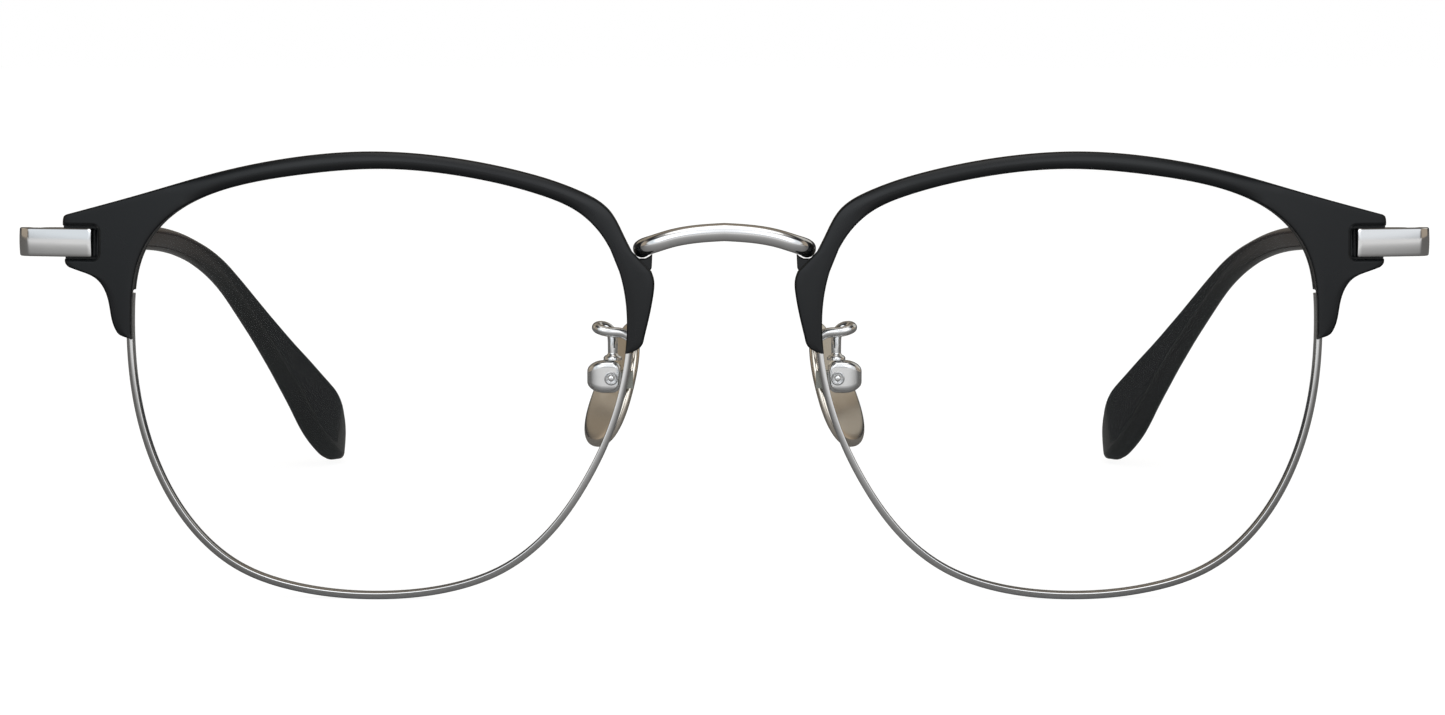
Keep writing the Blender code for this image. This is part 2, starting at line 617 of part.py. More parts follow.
def make_pad_box(side, mats):
    """A rounded box, open towards the nose, with a hole for the pad's screw."""
    name = word(side)
    px, py, pz = PIN_POINT
    width, height = BOX_X[1] - BOX_X[0], BOX_Z[1] - BOX_Z[0]
    mid_x, mid_z = sum(BOX_X) / 2, sum(BOX_Z) / 2
    outline = [(mid_x + u, mid_z + v) for u, v in rounded_rect(width, height, BOX_CORNER, 4)]
    rings = []
    front, back = BOX_Y
    for inset, y in ((BOX_BEVEL, front), (0.0, front + BOX_BEVEL), (0.0, back - BOX_BEVEL),
                     (BOX_BEVEL, back)):
        grow = np.array([1 - 2 * inset / width, 1 - 2 * inset / height])
        flat = [(mid_x + (x - mid_x) * grow[0], mid_z + (z - mid_z) * grow[1]) for x, z in outline]
        rings.append([(x, y, z) for x, z in flat])
    box = add_object("pad_box_" + name, *loft(rings), mats["steel"], side)
    half, closed_end, tall = BOX_SLOT
    slot = [(px - 3, pz - tall), (closed_end, pz - tall), (closed_end, pz + tall), (px - 3, pz + tall)]
    cut(box, "box_slot_cutter_" + name, *prism(slot, py - half, py + half, along_y), side)
    hole = circle(PAD_SCREW_HOLE, 12, (px, pz))
    cut(box, "box_hole_cutter_" + name, *prism(hole, py - 3, py + 3, along_y), side)
    shank, head, rise = PAD_SCREW
    face = front - SWING_GAP
    levels = [(head * 0.6, face - rise), (head, face - rise * 0.5), (head, face), (shank, face),
              (shank, back)]
    rings = [[(x, y, z) for x, z in circle(r, 12, (px, pz))] for r, y in levels]
    add_object("pad_screw_" + name, *loft(rings), mats["steel"], side)


def pad_frame():
    """Directions of the left pad: across its face from front to back, up it, and outwards."""
    across = np.array([math.sin(PAD_SPLAY), math.cos(PAD_SPLAY), 0.0])
    out = np.array([math.cos(PAD_SPLAY), -math.sin(PAD_SPLAY), 0.0])
    lean, level = math.sin(PAD_LEAN), math.cos(PAD_LEAN)
    up = np.array([0.0, 0.0, 1.0]) * level - out * lean
    out = out * level + np.array([0.0, 0.0, 1.0]) * lean
    return across, up, out


def pad_outline(count=22):
    """A drop shape, wider below its middle and fuller towards the front."""
    points = []
    for k in range(count):
        turn = 2 * math.pi * k / count
        u, v = math.cos(turn), math.sin(turn)
        half_width, taper = PAD_FRONT if u < 0 else PAD_REAR
        u = math.copysign(abs(u) ** 0.85, u) * (1 - taper * v)
        v = math.copysign(abs(v) ** 0.9, v)
        points.append((u * half_width, v * PAD_HEIGHT / 2))
    return points


def make_nose_pad(side, mats):
    """A thin cushion-shaped plate that rocks on its lug."""
    across, up, out = pad_frame()
    centre = np.array(PAD_CENTRE)
    outline = pad_outline()
    half = PAD_THICK / 2
    rows = [(0.35, half), (0.86, half), (0.97, half * 0.7), (1.0, 0.0), (0.97, -half * 0.7),
            (0.86, -half), (0.35, -half)]
    rings = []
    for grow, depth in rows:
        ring = [centre + across * u * grow + up * v * grow + out * depth for u, v in outline]
        rings.append(ring)
    add_object("nose_pad_" + word(side), *loft(rings, domed=True), mats["pad"], side, PIN_POINT)


def make_pad_lug(side, mats):
    """A tab round the screw that turns back to lie on the pad's outer face."""
    name = word(side)
    px, py, pz = PIN_POINT
    half, reach, hole = LUG
    foot, foot_end = LUG_FOOT
    out = pad_frame()[2]
    face = np.array(PAD_CENTRE) + out * (PAD_THICK / 2 + LUG_GAP)

    def face_x(y, z):
        return face[0] - ((y - face[1]) * out[1] + (z - face[2]) * out[2]) / out[0]
    rings = []
    for z in (pz + LUG_HEIGHTS[0], pz + LUG_HEIGHTS[1]):
        heel = face[1] + ((face[0] - LUG_INNER_X) * out[0] - (z - face[2]) * out[2]) / out[1]
        outline = [(px + reach, py - half), (px + reach, py + half)]
        outline += [(face_x(y, z) + foot, y) for y in (py + half, foot_end)]
        outline += [(face_x(foot_end, z), foot_end), (LUG_INNER_X, heel), (LUG_INNER_X, py - half)]
        rings.append([(x, y, z) for x, y in outline])
    lug = add_object("pad_lug_" + name, *loft(rings), mats["steel"], side, PIN_POINT)
    points, faces = prism(circle(hole, 12, (px, pz)), py - 2, py + 2, along_y)
    cut(lug, "lug_cutter_" + name, points, faces, side, PIN_POINT)


# ---------------------------------------------------------------- assembly
def clear_scene():
    for obj in list(bpy.data.objects):
        bpy.data.objects.remove(obj, do_unlink=True)


def main():
    clear_scene()
    mats = make_materials()
    make_bridge(mats)
    for side in (1, -1):
        make_rim(side, mats)
        make_brow(side, mats)
        make_lens(side, mats)
        make_bridge_mount(side, mats)
        make_endpiece(side, mats)
        make_closing_block(side, mats)
        make_hinge(side, mats)
        make_temple_arm(side, mats)
        make_temple_tip(side, mats)
        make_pad_arm(side, mats)
        make_pad_box(side, mats)
        make_nose_pad(side, mats)
        make_pad_lug(side, mats)


main()
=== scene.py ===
import math

import bmesh
import bpy
import numpy as np
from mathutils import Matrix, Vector


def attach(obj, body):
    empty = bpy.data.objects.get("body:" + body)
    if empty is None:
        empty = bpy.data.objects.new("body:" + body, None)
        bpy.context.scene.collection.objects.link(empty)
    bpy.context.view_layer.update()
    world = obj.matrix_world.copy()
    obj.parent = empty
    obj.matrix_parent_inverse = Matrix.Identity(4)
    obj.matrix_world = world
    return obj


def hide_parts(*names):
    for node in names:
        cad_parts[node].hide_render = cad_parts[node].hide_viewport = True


# Looks of a pair of browline metal eyeglasses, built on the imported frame.
# Lengths are millimetres and become metres when a mesh is made. Shapes are written once, for the
# wearer's left (+X) side, and mirrored. y is measured back from the front and FRONT_Y moves it
# to the frame's own origin.

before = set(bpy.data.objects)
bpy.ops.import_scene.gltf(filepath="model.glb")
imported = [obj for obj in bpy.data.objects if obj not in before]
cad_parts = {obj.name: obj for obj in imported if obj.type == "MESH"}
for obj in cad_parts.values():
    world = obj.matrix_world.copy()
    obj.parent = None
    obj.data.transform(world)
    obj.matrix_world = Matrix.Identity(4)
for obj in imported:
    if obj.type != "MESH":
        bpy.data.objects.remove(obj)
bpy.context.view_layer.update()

MM = 0.001
FRONT_Y = 71.47

# ---------------------------------------------------------------- dimensions
# These are the CAD model's, apart from the groove's depth and the soft edges, crowns and rounds.
FACE_RADIUS = 500.0
LENS_RADIUS = 200.0
LENS_CENTRE = (34.5, 22.0)
RIM_FRONT = 1.25
RIM_DEPTH = 2.0
RIM_WALL = 0.7
RIM_ROUNDS = (0.1, 0.42, 0.22)       # at the lens side, the front's outer edge and the back's
GROOVE_DEPTH = 0.12                  # shallower than in the CAD, since the lens looks to fill it
GROOVE_BLUNT = (0.02, 0.05)          # how the groove's point is blunted: in depth and to each side
GROOVE_HALF = 0.45
RIM_SPLIT_Z = 31.0
RIM_SPLIT_GAP = 0.2
BLACK_RIM_NASAL_Z = 25.3             # below this the nose side of the rim is bare metal
BROW_THICK = 1.2
BROW_NARROW = 3.0                    # the brow's face is crowned where it is narrower than this
BROW_CROWN = 0.24
BROW_TOP_Z = 39.0                    # and only above this height
POCKET_DEPTH = 0.9
POCKET = (63.6, 34.4, 37.8)          # inner end, bottom and top
POCKET_CORNER = 0.6
POCKET_LENGTH = 8.0
POCKET_LIP = (0.35, 0.2)             # width and depth of the dip round the pocket
LENS_THICK = 1.4
LENS_EDGE_HALF = 0.35
LENS_GAP = 0.06
BLOCK_X = (60.95, 62.45)
BLOCK_Y = (7.35, 9.55)
BLOCK_HALF = 1.9
BAR_HEIGHT = 2.9
BAR_THICK = 1.25
BAR_Z = 36.1
BAR_PROUD = 0.48
BAR_START_X = 64.1
BAR_OUTER_X = 72.1
BAR_BEND = 1.25
BAR_BEND_START_X = 69.4
BAR_CROWN = 0.07                     # swell of the bar's broad faces
HINGE_Y = 16.5
HINGE_Z = 35.7
KNUCKLE_RADIUS = 1.15
HINGE_BORE = 0.42
PIVOT_INSET = 1.3
HINGE_HALF = 1.2
TEMPLE_KNUCKLE_HALF = 0.4
TEMPLE_LEAF_HALF = 0.9
LEAF_THICK = 0.6
LEAF_REACH = 4.4
PARTING_GAP = 0.05
SHAVE = 0.01                         # keeps finely divided curves inside the CAD model's box
BRIDGE_RADIUS = 0.93
ARM_WIRE = 0.51
PIN_POINT = (11.5, 6.75, 22.35)
BOX_X = (10.5, 13.95)
BOX_Z = (20.85, 24.15)
BOX_Y = (5.65, 7.85)
BOX_SLOT = (0.45, 12.75, 1.35)       # half width, closed end, half height
BOX_OUTER_ROUND = (1.8, 0.9, 1.1)   # of each end: along x, y and z
BOX_INNER_ROUND = (0.9, 0.2, 0.9)
BOX_EDGE = 0.6
PAD_FRONT = (3.9, 0.13)              # half width, and how much narrower at its top
PAD_REAR = (2.8, 0.55)
PAD_HEIGHT = 13.2
PAD_THICK = 1.1
PAD_CENTRE = (11.5, 11.3, 21.25)
PAD_SPLAY = math.radians(31.0)
PAD_LEAN = math.radians(18.0)
SLEEVE_START = 0.43
SLEEVE_INSETS = (0.25, 0.08)         # how the sleeve's open end draws in
ARM_START_HEIGHT = 2.75
ARM_CROWN = 0.05
ARM_END_SIZE = (1.15, 2.3)
THINNING = (0.05, 0.41)

LENS_OUTLINE = [
    (60.15, 28.5), (59.75, 21.5), (57.7, 13.7), (53.6, 6.95), (49.5, 3.55), (43.3, 1.4),
    (35.0, 0.71), (27.0, 1.75), (22.8, 3.35), (18.6, 6.5), (14.6, 11.8), (11.4, 18.7),
    (9.95, 25.5), (9.95, 30.5), (10.6, 33.5), (12.5, 37.3), (14.5, 39.25), (18.5, 41.1),
    (26.5, 43.0), (34.5, 43.7), (42.6, 43.1), (50.8, 41.45), (55.0, 39.6), (57.6, 37.4),
    (59.3, 34.5)]
# Runs of ribs across the brow: a point of the outer edge and the point where it meets the lens.
BROW_RUNS = [
    [((9.7, 25.2), (9.97, 25.2)), ((9.3, 25.33), (9.95, 25.55)), ((8.85, 25.52), (9.93, 25.9))],
    [((8.75, 25.57), (9.93, 25.97)), ((8.42, 25.85), (9.92, 26.25)), ((8.2, 26.2), (9.91, 26.5)),
     ((8.1, 26.55), (9.9, 26.8))],
    [((8.05, 26.8), (9.9, 27.1)), ((7.5, 29.1), (9.9, 29.1)), ((7.15, 31.0), (9.97, 30.9)),
     ((7.08, 32.5), (10.3, 32.4)), ((7.35, 33.4), (10.6, 33.5))],
    [((9.3, 35.4), (11.5, 35.6)), ((10.15, 37.1), (12.3, 37.05)), ((11.5, 39.5), (13.6, 38.5)),
     ((14.5, 41.5), (15.9, 40.05)), ((20.5, 43.5), (21.2, 41.85)), ((28.5, 45.0), (28.7, 43.3)),
     ((35.0, 45.448), (34.8, 43.7)), ((43.0, 44.9), (42.6, 43.1)), ((52.0, 43.1), (50.9, 41.4)),
     ((59.0, 41.1), (55.6, 39.25)), ((66.9, 38.95), (58.2, 36.6))],
    [((66.9, 38.95), (58.2, 36.6)), ((67.22, 38.76), (58.4, 36.3)), ((67.34, 38.4), (58.6, 36.0)),
     ((67.27, 36.4), (59.1, 35.0)), ((67.17, 34.4), (59.45, 34.0)), ((67.05, 33.9), (59.55, 33.6)),
     ((66.7, 33.57), (59.65, 33.3))],
    [((66.7, 33.57), (59.65, 33.3)), ((65.6, 33.2), (59.8, 32.6)), ((63.9, 32.5), (59.93, 31.8)),
     ((62.75, 30.9), (60.05, 30.6)), ((62.25, 28.6), (60.13, 28.6)), ((61.85, 27.4), (60.14, 27.5)),
     ((61.45, 26.85), (60.14, 27.1)), ((60.9, 26.6), (60.12, 26.75))],
    [((60.3, 26.45), (60.1, 26.4)), ((60.15, 26.35), (60.1, 26.35))]]
BROW_RIBS = (8, 16, 60, 360, 120, 140, 6)
BROW_LONG_RUN = 3                    # the run over the top; its last part gets half the ribs
BROW_CLOSE_SHARE = 0.9
BROW_EDGE = (0.24, 0.22)             # radius of the soft edge, and its greatest share of the width
BROW_SOFTEN = (0.05, 0.5)            # how far the face falls away near its edges, and how near
BRIDGE_PATH = [
    (0.0, 2.3, 37.4), (3.0, 2.32, 37.18), (5.6, 2.4, 36.68), (7.1, 2.6, 36.2), (8.0, 3.2, 35.88),
    (8.3, 4.3, 35.65), (8.35, 5.4, 35.6)]
WEB_OUTLINE = [
    (7.28, 35.1), (7.35, 33.6), (7.9, 33.1), (9.4, 32.7), (9.7, 33.5), (10.5, 35.3), (9.9, 35.5),
    (9.3, 35.0), (8.6, 34.62), (8.0, 34.62), (7.6, 34.82)]
PAD_ARM_PATH = [
    (9.5, 5.5, 26.5), (10.2, 5.55, 26.95), (11.2, 5.5, 27.1), (12.1, 5.5, 27.2), (12.75, 5.75, 27.4),
    (12.95, 6.25, 27.55), (12.6, 6.8, 27.65), (12.0, 6.95, 27.5), (11.55, 6.88, 27.1),
    (11.38, 6.8, 26.4), (11.35, 6.75, 25.6), (11.35, 6.75, 24.85)]
PAD_ARM_COLLAR = [(0.6, 24.72), (0.8, 24.62), (0.92, 24.5), (0.95, 24.4), (0.95, 24.19)]
TEMPLE_PATH = [
    (BAR_OUTER_X - 0.62, HINGE_Y + PARTING_GAP, HINGE_Z), (71.5, 21.5, 35.6), (71.2, 32.0, 35.2),
    (70.3, 55.0, 34.2), (68.8, 84.0, 32.8), (67.2, 97.0, 31.2), (65.3, 105.5, 28.9),
    (63.6, 111.9, 26.0), (61.9, 117.0, 22.4), (59.9, 122.0, 18.2), (57.85, 126.9, 13.9),
    (55.55, 131.5, 9.7), (53.5, 135.9, 5.4), (51.95, 139.75, 1.45)]
# share of the temple's length, height across the tip, thickness, shift towards the front edge
TIP_SECTIONS = [
    (0.43, 2.9, 2.2, 0.0), (0.62, 2.8, 2.1, 0.0), (0.72, 3.3, 2.2, 0.0), (0.80, 4.6, 2.5, -0.35),
    (0.85, 5.95, 2.7, -0.6), (0.89, 7.7, 2.9, -0.35), (0.92, 9.5, 3.0, 0.1),
    (0.945, 10.2, 3.1, -0.25), (0.965, 10.15, 3.05, -0.85), (0.982, 8.5, 2.85, -0.55),
    (0.993, 5.0, 2.3, -0.2), (1.0, 2.0, 1.2, 0.5)]
TIP_BLEND = 0.02                     # the sections run into each other over this share


# ---------------------------------------------------------------- shape helpers
def wrap(x, z):
    """How far the front's surface lies back at x and z."""
    off_x, off_z = abs(x) - LENS_CENTRE[0], z - LENS_CENTRE[1]
    return x * x / (2 * FACE_RADIUS) + (off_x * off_x + off_z * off_z) / (2 * LENS_RADIUS)


def cubic(points, closed=False):
    """A finely divided smooth cubic through every given point."""
    knots = np.array(points, float)
    if closed:
        knots = np.vstack([knots, knots[:1]])
    step = np.linalg.norm(np.diff(knots, axis=0), axis=1)
    last = len(knots) - 1
    bend = np.zeros((last + 1, last + 1))
    pull = np.zeros_like(knots)
    for i in range(1, last):
        bend[i, i - 1:i + 2] = step[i - 1], 2 * (step[i - 1] + step[i]), step[i]
        pull[i] = 6 * ((knots[i + 1] - knots[i]) / step[i] - (knots[i] - knots[i - 1]) / step[i - 1])
    bend[0, 0] = bend[last, last] = 1
    if closed:
        bend[0, 0], bend[0, 1], bend[0, last - 1] = 2 * (step[-1] + step[0]), step[0], step[-1]
        pull[0] = 6 * ((knots[1] - knots[0]) / step[0] - (knots[0] - knots[last - 1]) / step[-1])
        bend[last, 0] = -1
    second = np.linalg.solve(bend, pull)
    t = np.linspace(0, 1, 60, endpoint=False)[:, None]
    fine = []
    for i in range(last):
        ends = (1 - t) * knots[i] + t * knots[i + 1]
        curl = ((1 - t) ** 3 - (1 - t)) * second[i] + (t ** 3 - t) * second[i + 1]
        fine.append(ends + curl * step[i] ** 2 / 6)
    return np.vstack(fine + [knots[last:]])


def at_shares(line, shares):
    """Points of a line at the given shares of its length."""
    along = np.concatenate([[0], np.cumsum(np.linalg.norm(np.diff(line, axis=0), axis=1))])
    want = np.array(shares) * along[-1]
    return np.column_stack([np.interp(want, along, line[:, k]) for k in range(line.shape[1])])


def evenly(line, count, closed=False):
    return at_shares(line, np.linspace(0, 1, count, endpoint=not closed))


def rounded_rect(width, height, radius, steps=5, bulge=0.0):
    """Outline of a rounded rectangle whose long sides swell by bulge."""
    points = []
    for corner in range(4):
        cx = (width / 2 - radius) * (1 if corner in (0, 3) else -1)
        cy = (height / 2 - radius) * (1 if corner in (0, 1) else -1)
        for k in range(steps + 1):
            turn = math.pi / 2 * (corner + k / steps)
            points.append((cx + radius * math.cos(turn), cy + radius * math.sin(turn)))
    sides = len(points)
    fine = []
    for k, (u, v) in enumerate(points):
        fine.append((u, v))
        if k % (steps + 1) == steps:
            nu, nv = points[(k + 1) % sides]
            fine += [(u + (nu - u) * j / 12, v + (nv - v) * j / 12) for j in range(1, 12)]
    swell = [1 - (2 * v / height) ** 2 for _, v in fine]
    return [(u + math.copysign(bulge * s, u), v) for (u, v), s in zip(fine, swell)]


def circle(radius, count=32, centre=(0.0, 0.0)):
    turns = [2 * math.pi * k / count for k in range(count)]
    return [(centre[0] + radius * math.cos(t), centre[1] + radius * math.sin(t)) for t in turns]


def skin(rings, closed=False, caps=(True, True)):
    """Points and faces over equal rings."""
    rings = [np.array(ring, float) for ring in rings]
    size = len(rings[0])
    points = np.vstack(rings)
    faces = []
    spans = len(rings) if closed else len(rings) - 1
    for i in range(spans):
        a, b = i * size, (i + 1) % len(rings) * size
        faces += [(a + k, a + (k + 1) % size, b + (k + 1) % size, b + k) for k in range(size)]
    if not closed:
        if caps[0]:
            faces.append(tuple(range(size)))
        if caps[1]:
            start = (len(rings) - 1) * size
            faces.append(tuple(range(start, start + size)))
    return points, faces


def sweep(path, section, across):
    """A section of (sideways, upwards) points along a path, kept from twisting."""
    path = np.array(path, float)
    ahead = np.gradient(path, axis=0)
    side = np.array(across, float)
    rings = []
    for here, run in zip(path, ahead):
        run = run / np.linalg.norm(run)
        side = side - run * side.dot(run)
        side = side / np.linalg.norm(side)
        up = np.cross(side, run)
        rings.append([here + side * u + up * v for u, v in section])
    return rings


def prism(outline, levels, place):
    """An outline carried through levels of (height, inset share); place makes points."""
    middle = np.mean(np.array(outline), axis=0)
    rings = []
    for height, grow in levels:
        flat = middle + (np.array(outline) - middle) * grow
        rings.append([place(u, v, height) for u, v in flat])
    return skin(rings)


def turned(levels, centre, place, count=40):
    """A turned piece: rings of (radius, height) about a centre."""
    return skin([[place(u, v, h) for u, v in circle(r, count, centre)] for r, h in levels])


def upright(u, v, height):
    return (u, v, height)


def facing(u, v, height):
    return (u, height, v)


def word(side):
    return "left" if side > 0 else "right"


def brick(low, high):
    """A plain block to cut with."""
    corners = [(low[0], low[1]), (high[0], low[1]), (high[0], high[1]), (low[0], high[1])]
    return skin([[(x, y, z) for x, y in corners] for z in (low[2], high[2])])


def solid(name, shape, side):
    """An object in metres with its faces turned outwards."""
    points, faces = shape
    verts = (np.array(points) * (side, 1.0, 1.0) - (0.0, FRONT_Y, 0.0)) * MM
    mesh = bpy.data.meshes.new(name)
    mesh.from_pydata([tuple(v) for v in verts], [], [tuple(f) for f in faces])
    work = bmesh.new()
    work.from_mesh(mesh)
    bmesh.ops.recalc_face_normals(work, faces=work.faces)
    work.to_mesh(mesh)
    work.free()
    obj = bpy.data.objects.new(name, mesh)
    bpy.context.collection.objects.link(obj)
    return obj


def carve(obj, shape, side):
    """Cut a shape out of a piece for good."""
    cutter = solid("cutter", shape, side)
    mod = obj.modifiers.new("carve", "BOOLEAN")
    mod.operation = "DIFFERENCE"
    mod.solver = "EXACT"
    mod.object = cutter
    whole = obj.data
    obj.data = bpy.data.meshes.new_from_object(obj.evaluated_get(bpy.context.evaluated_depsgraph_get()))
    obj.modifiers.remove(mod)
    obj.data.name = whole.name
    bpy.data.meshes.remove(whole)
    bpy.data.objects.remove(cutter, do_unlink=True)


def add_piece(name, shape, mat, side, body, nodes=(), crease=None, bevel=0.0, cuts=()):
    """Make a piece, hang it on its body and hide the CAD nodes that it stands for."""
    obj = solid(name, shape, side)
    for cut in cuts:
        carve(obj, cut, side)
    mesh = obj.data
    mesh.shade_smooth()
    if crease is not None:
        mesh.set_sharp_from_angle(angle=math.radians(crease))
    mesh.materials.clear()
    mesh.materials.append(mat)
    if bevel:
        soften(obj, bevel)
    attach(obj, body)
    if nodes:
        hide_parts(*nodes)
    return obj


def soften(obj, width):
    mod = obj.modifiers.new("soft_edges", "BEVEL")
    mod.width = width * MM
    mod.segments = 3
    mod.limit_method = "ANGLE"
    mod.angle_limit = math.radians(40)
    mod.harden_normals = True


# ---------------------------------------------------------------- materials
class Nodes:
    """A Principled material with a few helpers for its node tree."""

    def __init__(self, name, colour, metallic, roughness, **extra):
        self.mat = bpy.data.materials.new(name)
        self.mat.use_nodes = True
        self.tree = self.mat.node_tree
        self.shader = self.tree.nodes["Principled BSDF"]
        values = {"Base Color": (*colour, 1.0), "Metallic": metallic, "Roughness": roughness}
        values.update(extra)
        for socket, value in values.items():
            self.shader.inputs[socket].default_value = value

    def node(self, kind, **values):
        made = self.tree.nodes.new(kind)
        for key, value in values.items():
            if key in made.inputs:
                made.inputs[key].default_value = value
            else:
                setattr(made, key, value)
        return made

    def link(self, a, b):
        self.tree.links.new(a, b)

    def place(self, stretch=(1.0, 1.0, 1.0)):
        coords = self.node("ShaderNodeTexCoord")
        mapping = self.node("ShaderNodeMapping")
        mapping.inputs["Scale"].default_value = stretch
        self.link(coords.outputs["Object"], mapping.inputs["Vector"])
        return mapping.outputs["Vector"]

    def noise(self, scale, detail=3.0, stretch=(1.0, 1.0, 1.0)):
        made = self.node("ShaderNodeTexNoise", Scale=scale, Detail=detail)
        self.link(self.place(stretch), made.inputs["Vector"])
        return made.outputs["Fac"]

    def ramp(self, source, low, high, start=0.3, end=0.7):
        made = self.node("ShaderNodeMapRange")
        made.inputs["From Min"].default_value = start
        made.inputs["From Max"].default_value = end
        made.inputs["To Min"].default_value = low
        made.inputs["To Max"].default_value = high
        self.link(source, made.inputs["Value"])
        return made.outputs["Result"]

    def roughness(self, source, low, high):
        self.link(self.ramp(source, low, high), self.shader.inputs["Roughness"])

    def bump(self, source, depth_mm, strength=1.0):
        made = self.node("ShaderNodeBump", Strength=strength)
        made.inputs["Distance"].default_value = depth_mm * MM
        self.link(source, made.inputs["Height"])
        self.link(made.outputs["Normal"], self.shader.inputs["Normal"])

    def colours(self, source, stops):
        made = self.node("ShaderNodeValToRGB")
        ramp = made.color_ramp
        while len(ramp.elements) < len(stops):
            ramp.elements.new(0.5)
        for element, (at, colour) in zip(ramp.elements, stops):
            element.position = at
            element.color = (*colour, 1.0)
        self.link(source, made.inputs["Fac"])
        self.link(made.outputs["Color"], self.shader.inputs["Base Color"])


def black_lacquer():
    made = Nodes("black_lacquer", (0.0045, 0.0055, 0.0065), 0.0, 0.3)
    made.shader.inputs["Specular IOR Level"].default_value = 0.32
    cloud = made.noise(110.0, 3.0)
    made.colours(cloud, [(0.3, (0.0040, 0.0050, 0.0060)), (0.7, (0.0058, 0.0070, 0.0082))])
    made.roughness(cloud, 0.25, 0.31)
    made.bump(made.noise(900.0, 4.0), 0.003)
    return made.mat


def polished_silver():
    made = Nodes("polished_silver", (0.82, 0.82, 0.82), 1.0, 0.08)
    made.roughness(made.noise(260.0, 4.0), 0.05, 0.12)
    made.bump(made.noise(1400.0, 2.0, (1.0, 0.25, 1.0)), 0.0008)
    return made.mat


def warm_silver():
    made = Nodes("pad_metal", (0.88, 0.81, 0.71), 1.0, 0.12)
    made.roughness(made.noise(300.0, 4.0), 0.09, 0.18)
    made.bump(made.noise(700.0, 2.0), 0.0012)
    return made.mat


def dark_acetate():
    """Black-brown, letting a little more brown show towards the front end of the sleeve."""
    made = Nodes("dark_acetate", (0.003, 0.002, 0.0015), 0.0, 0.12)
    along = made.node("ShaderNodeSeparateXYZ")
    made.link(made.place(), along.inputs["Vector"])
    cloud = made.node("ShaderNodeMath", operation="MULTIPLY_ADD")
    cloud.inputs[1].default_value = 0.02
    made.link(made.noise(75.0, 4.0, (1.0, 0.35, 1.0)), cloud.inputs[0])
    made.link(along.outputs["Y"], cloud.inputs[2])
    share = made.ramp(cloud.outputs["Value"], 0.0, 1.0, 0.030, 0.060)
    made.colours(share, [(0.0, (0.026, 0.013, 0.0075)), (0.55, (0.0060, 0.0034, 0.0020)),
                         (1.0, (0.0018, 0.0013, 0.0010))])
    made.shader.inputs["Specular IOR Level"].default_value = 0.26
    made.roughness(made.noise(420.0, 3.0), 0.09, 0.15)
    return made.mat


def dull_metal():
    """A darker, rougher metal, put on the pads' lugs."""
    made = Nodes("dark_lug_metal", (0.30, 0.31, 0.28), 1.0, 0.25)
    made.roughness(made.noise(500.0, 4.0), 0.2, 0.32)
    made.bump(made.noise(1200.0, 3.0), 0.0015)
    return made.mat


def clear_lens():
    made = Nodes("clear_lens", (0.55, 0.60, 0.60), 0.0, 0.02, Alpha=0.02, IOR=1.5)
    return made.mat


def nylon():
    made = Nodes("nylon_washer", (0.62, 0.61, 0.58), 0.0, 0.45)
    made.roughness(made.noise(900.0, 3.0), 0.4, 0.55)
    return made.mat


def make_materials():
    return {
        "black": black_lacquer(), "silver": polished_silver(), "pad": warm_silver(),
        "acetate": dark_acetate(), "lens": clear_lens(), "nylon": nylon(), "lug_metal": dull_metal()}


# ---------------------------------------------------------------- front
def lens_line(count):
    """The lens opening as closed x, z points, with outward directions."""
    line = evenly(cubic(LENS_OUTLINE, closed=True), count, closed=True)
    run = np.roll(line, -1, axis=0) - np.roll(line, 1, axis=0)
    run /= np.linalg.norm(run, axis=1)[:, None]
    out = np.column_stack([run[:, 1], -run[:, 0]])
    if np.mean(np.sum(out * (line - np.array(LENS_CENTRE)), axis=1)) < 0:
        out = -out
    return line, out


def rim_profile():
    """Reach and depth round the rim's section: a V groove inside, soft corners outside."""
    mid = RIM_DEPTH / 2
    inner, outer, back = RIM_ROUNDS
    shy, wide = GROOVE_BLUNT
    points = [
        (0.0, mid - GROOVE_HALF), (GROOVE_DEPTH - shy, mid - wide), (GROOVE_DEPTH, mid),
        (GROOVE_DEPTH - shy, mid + wide), (0.0, mid + GROOVE_HALF)]
    corners = [
        (inner, RIM_DEPTH - inner, inner, 180, 90), (RIM_WALL - back, RIM_DEPTH - back, back, 90, 0),
        (RIM_WALL - outer, outer, outer, 0, -90), (inner, inner, inner, -90, -180)]
    for reach, depth, radius, start, end in corners:
        for turn in np.radians(np.linspace(start, end, 6)):
            points.append((reach + radius * math.cos(turn), depth + radius * math.sin(turn)))
    return points


def rim_rings(line, out):
    rings = []
    for base, away in zip(line, out):
        ring = []
        for reach, depth in rim_profile():
            x, z = base + away * reach
            ring.append((x, wrap(x, z) + RIM_FRONT + depth, z))
        rings.append(ring)
    return rings


def make_rim(side, mats):
    """The lower wire in bare metal and the upper wire in black, parted at the closing block."""
    line, out = lens_line(1200)
    temporal = line[:, 0] > LENS_CENTRE[0]
    start = int(np.argmin(np.where(temporal, abs(line[:, 1] - RIM_SPLIT_Z), 1e9)))
    line, out = np.roll(line, -start, axis=0), np.roll(out, -start, axis=0)
    keep = np.hypot(*(line - line[0]).T) > RIM_SPLIT_GAP / 2
    line, out = line[keep], out[keep]
    if line[10, 1] > line[0, 1]:
        line, out = line[::-1], out[::-1]
    nasal = line[:, 0] < LENS_CENTRE[0]
    turn = int(np.argmax(nasal & (line[:, 1] > BLACK_RIM_NASAL_Z)))
    name = word(side)
    lower = skin(rim_rings(line[:turn + 1:2], out[:turn + 1:2]))
    add_piece("rim_wire_" + name, lower, mats["silver"], side, "front",
              ["rim_" + name], crease=40)
    upper = skin(rim_rings(line[turn::2], out[turn::2]))
    add_piece("rim_upper_wire_" + name, upper, mats["black"], side, "front", crease=40)


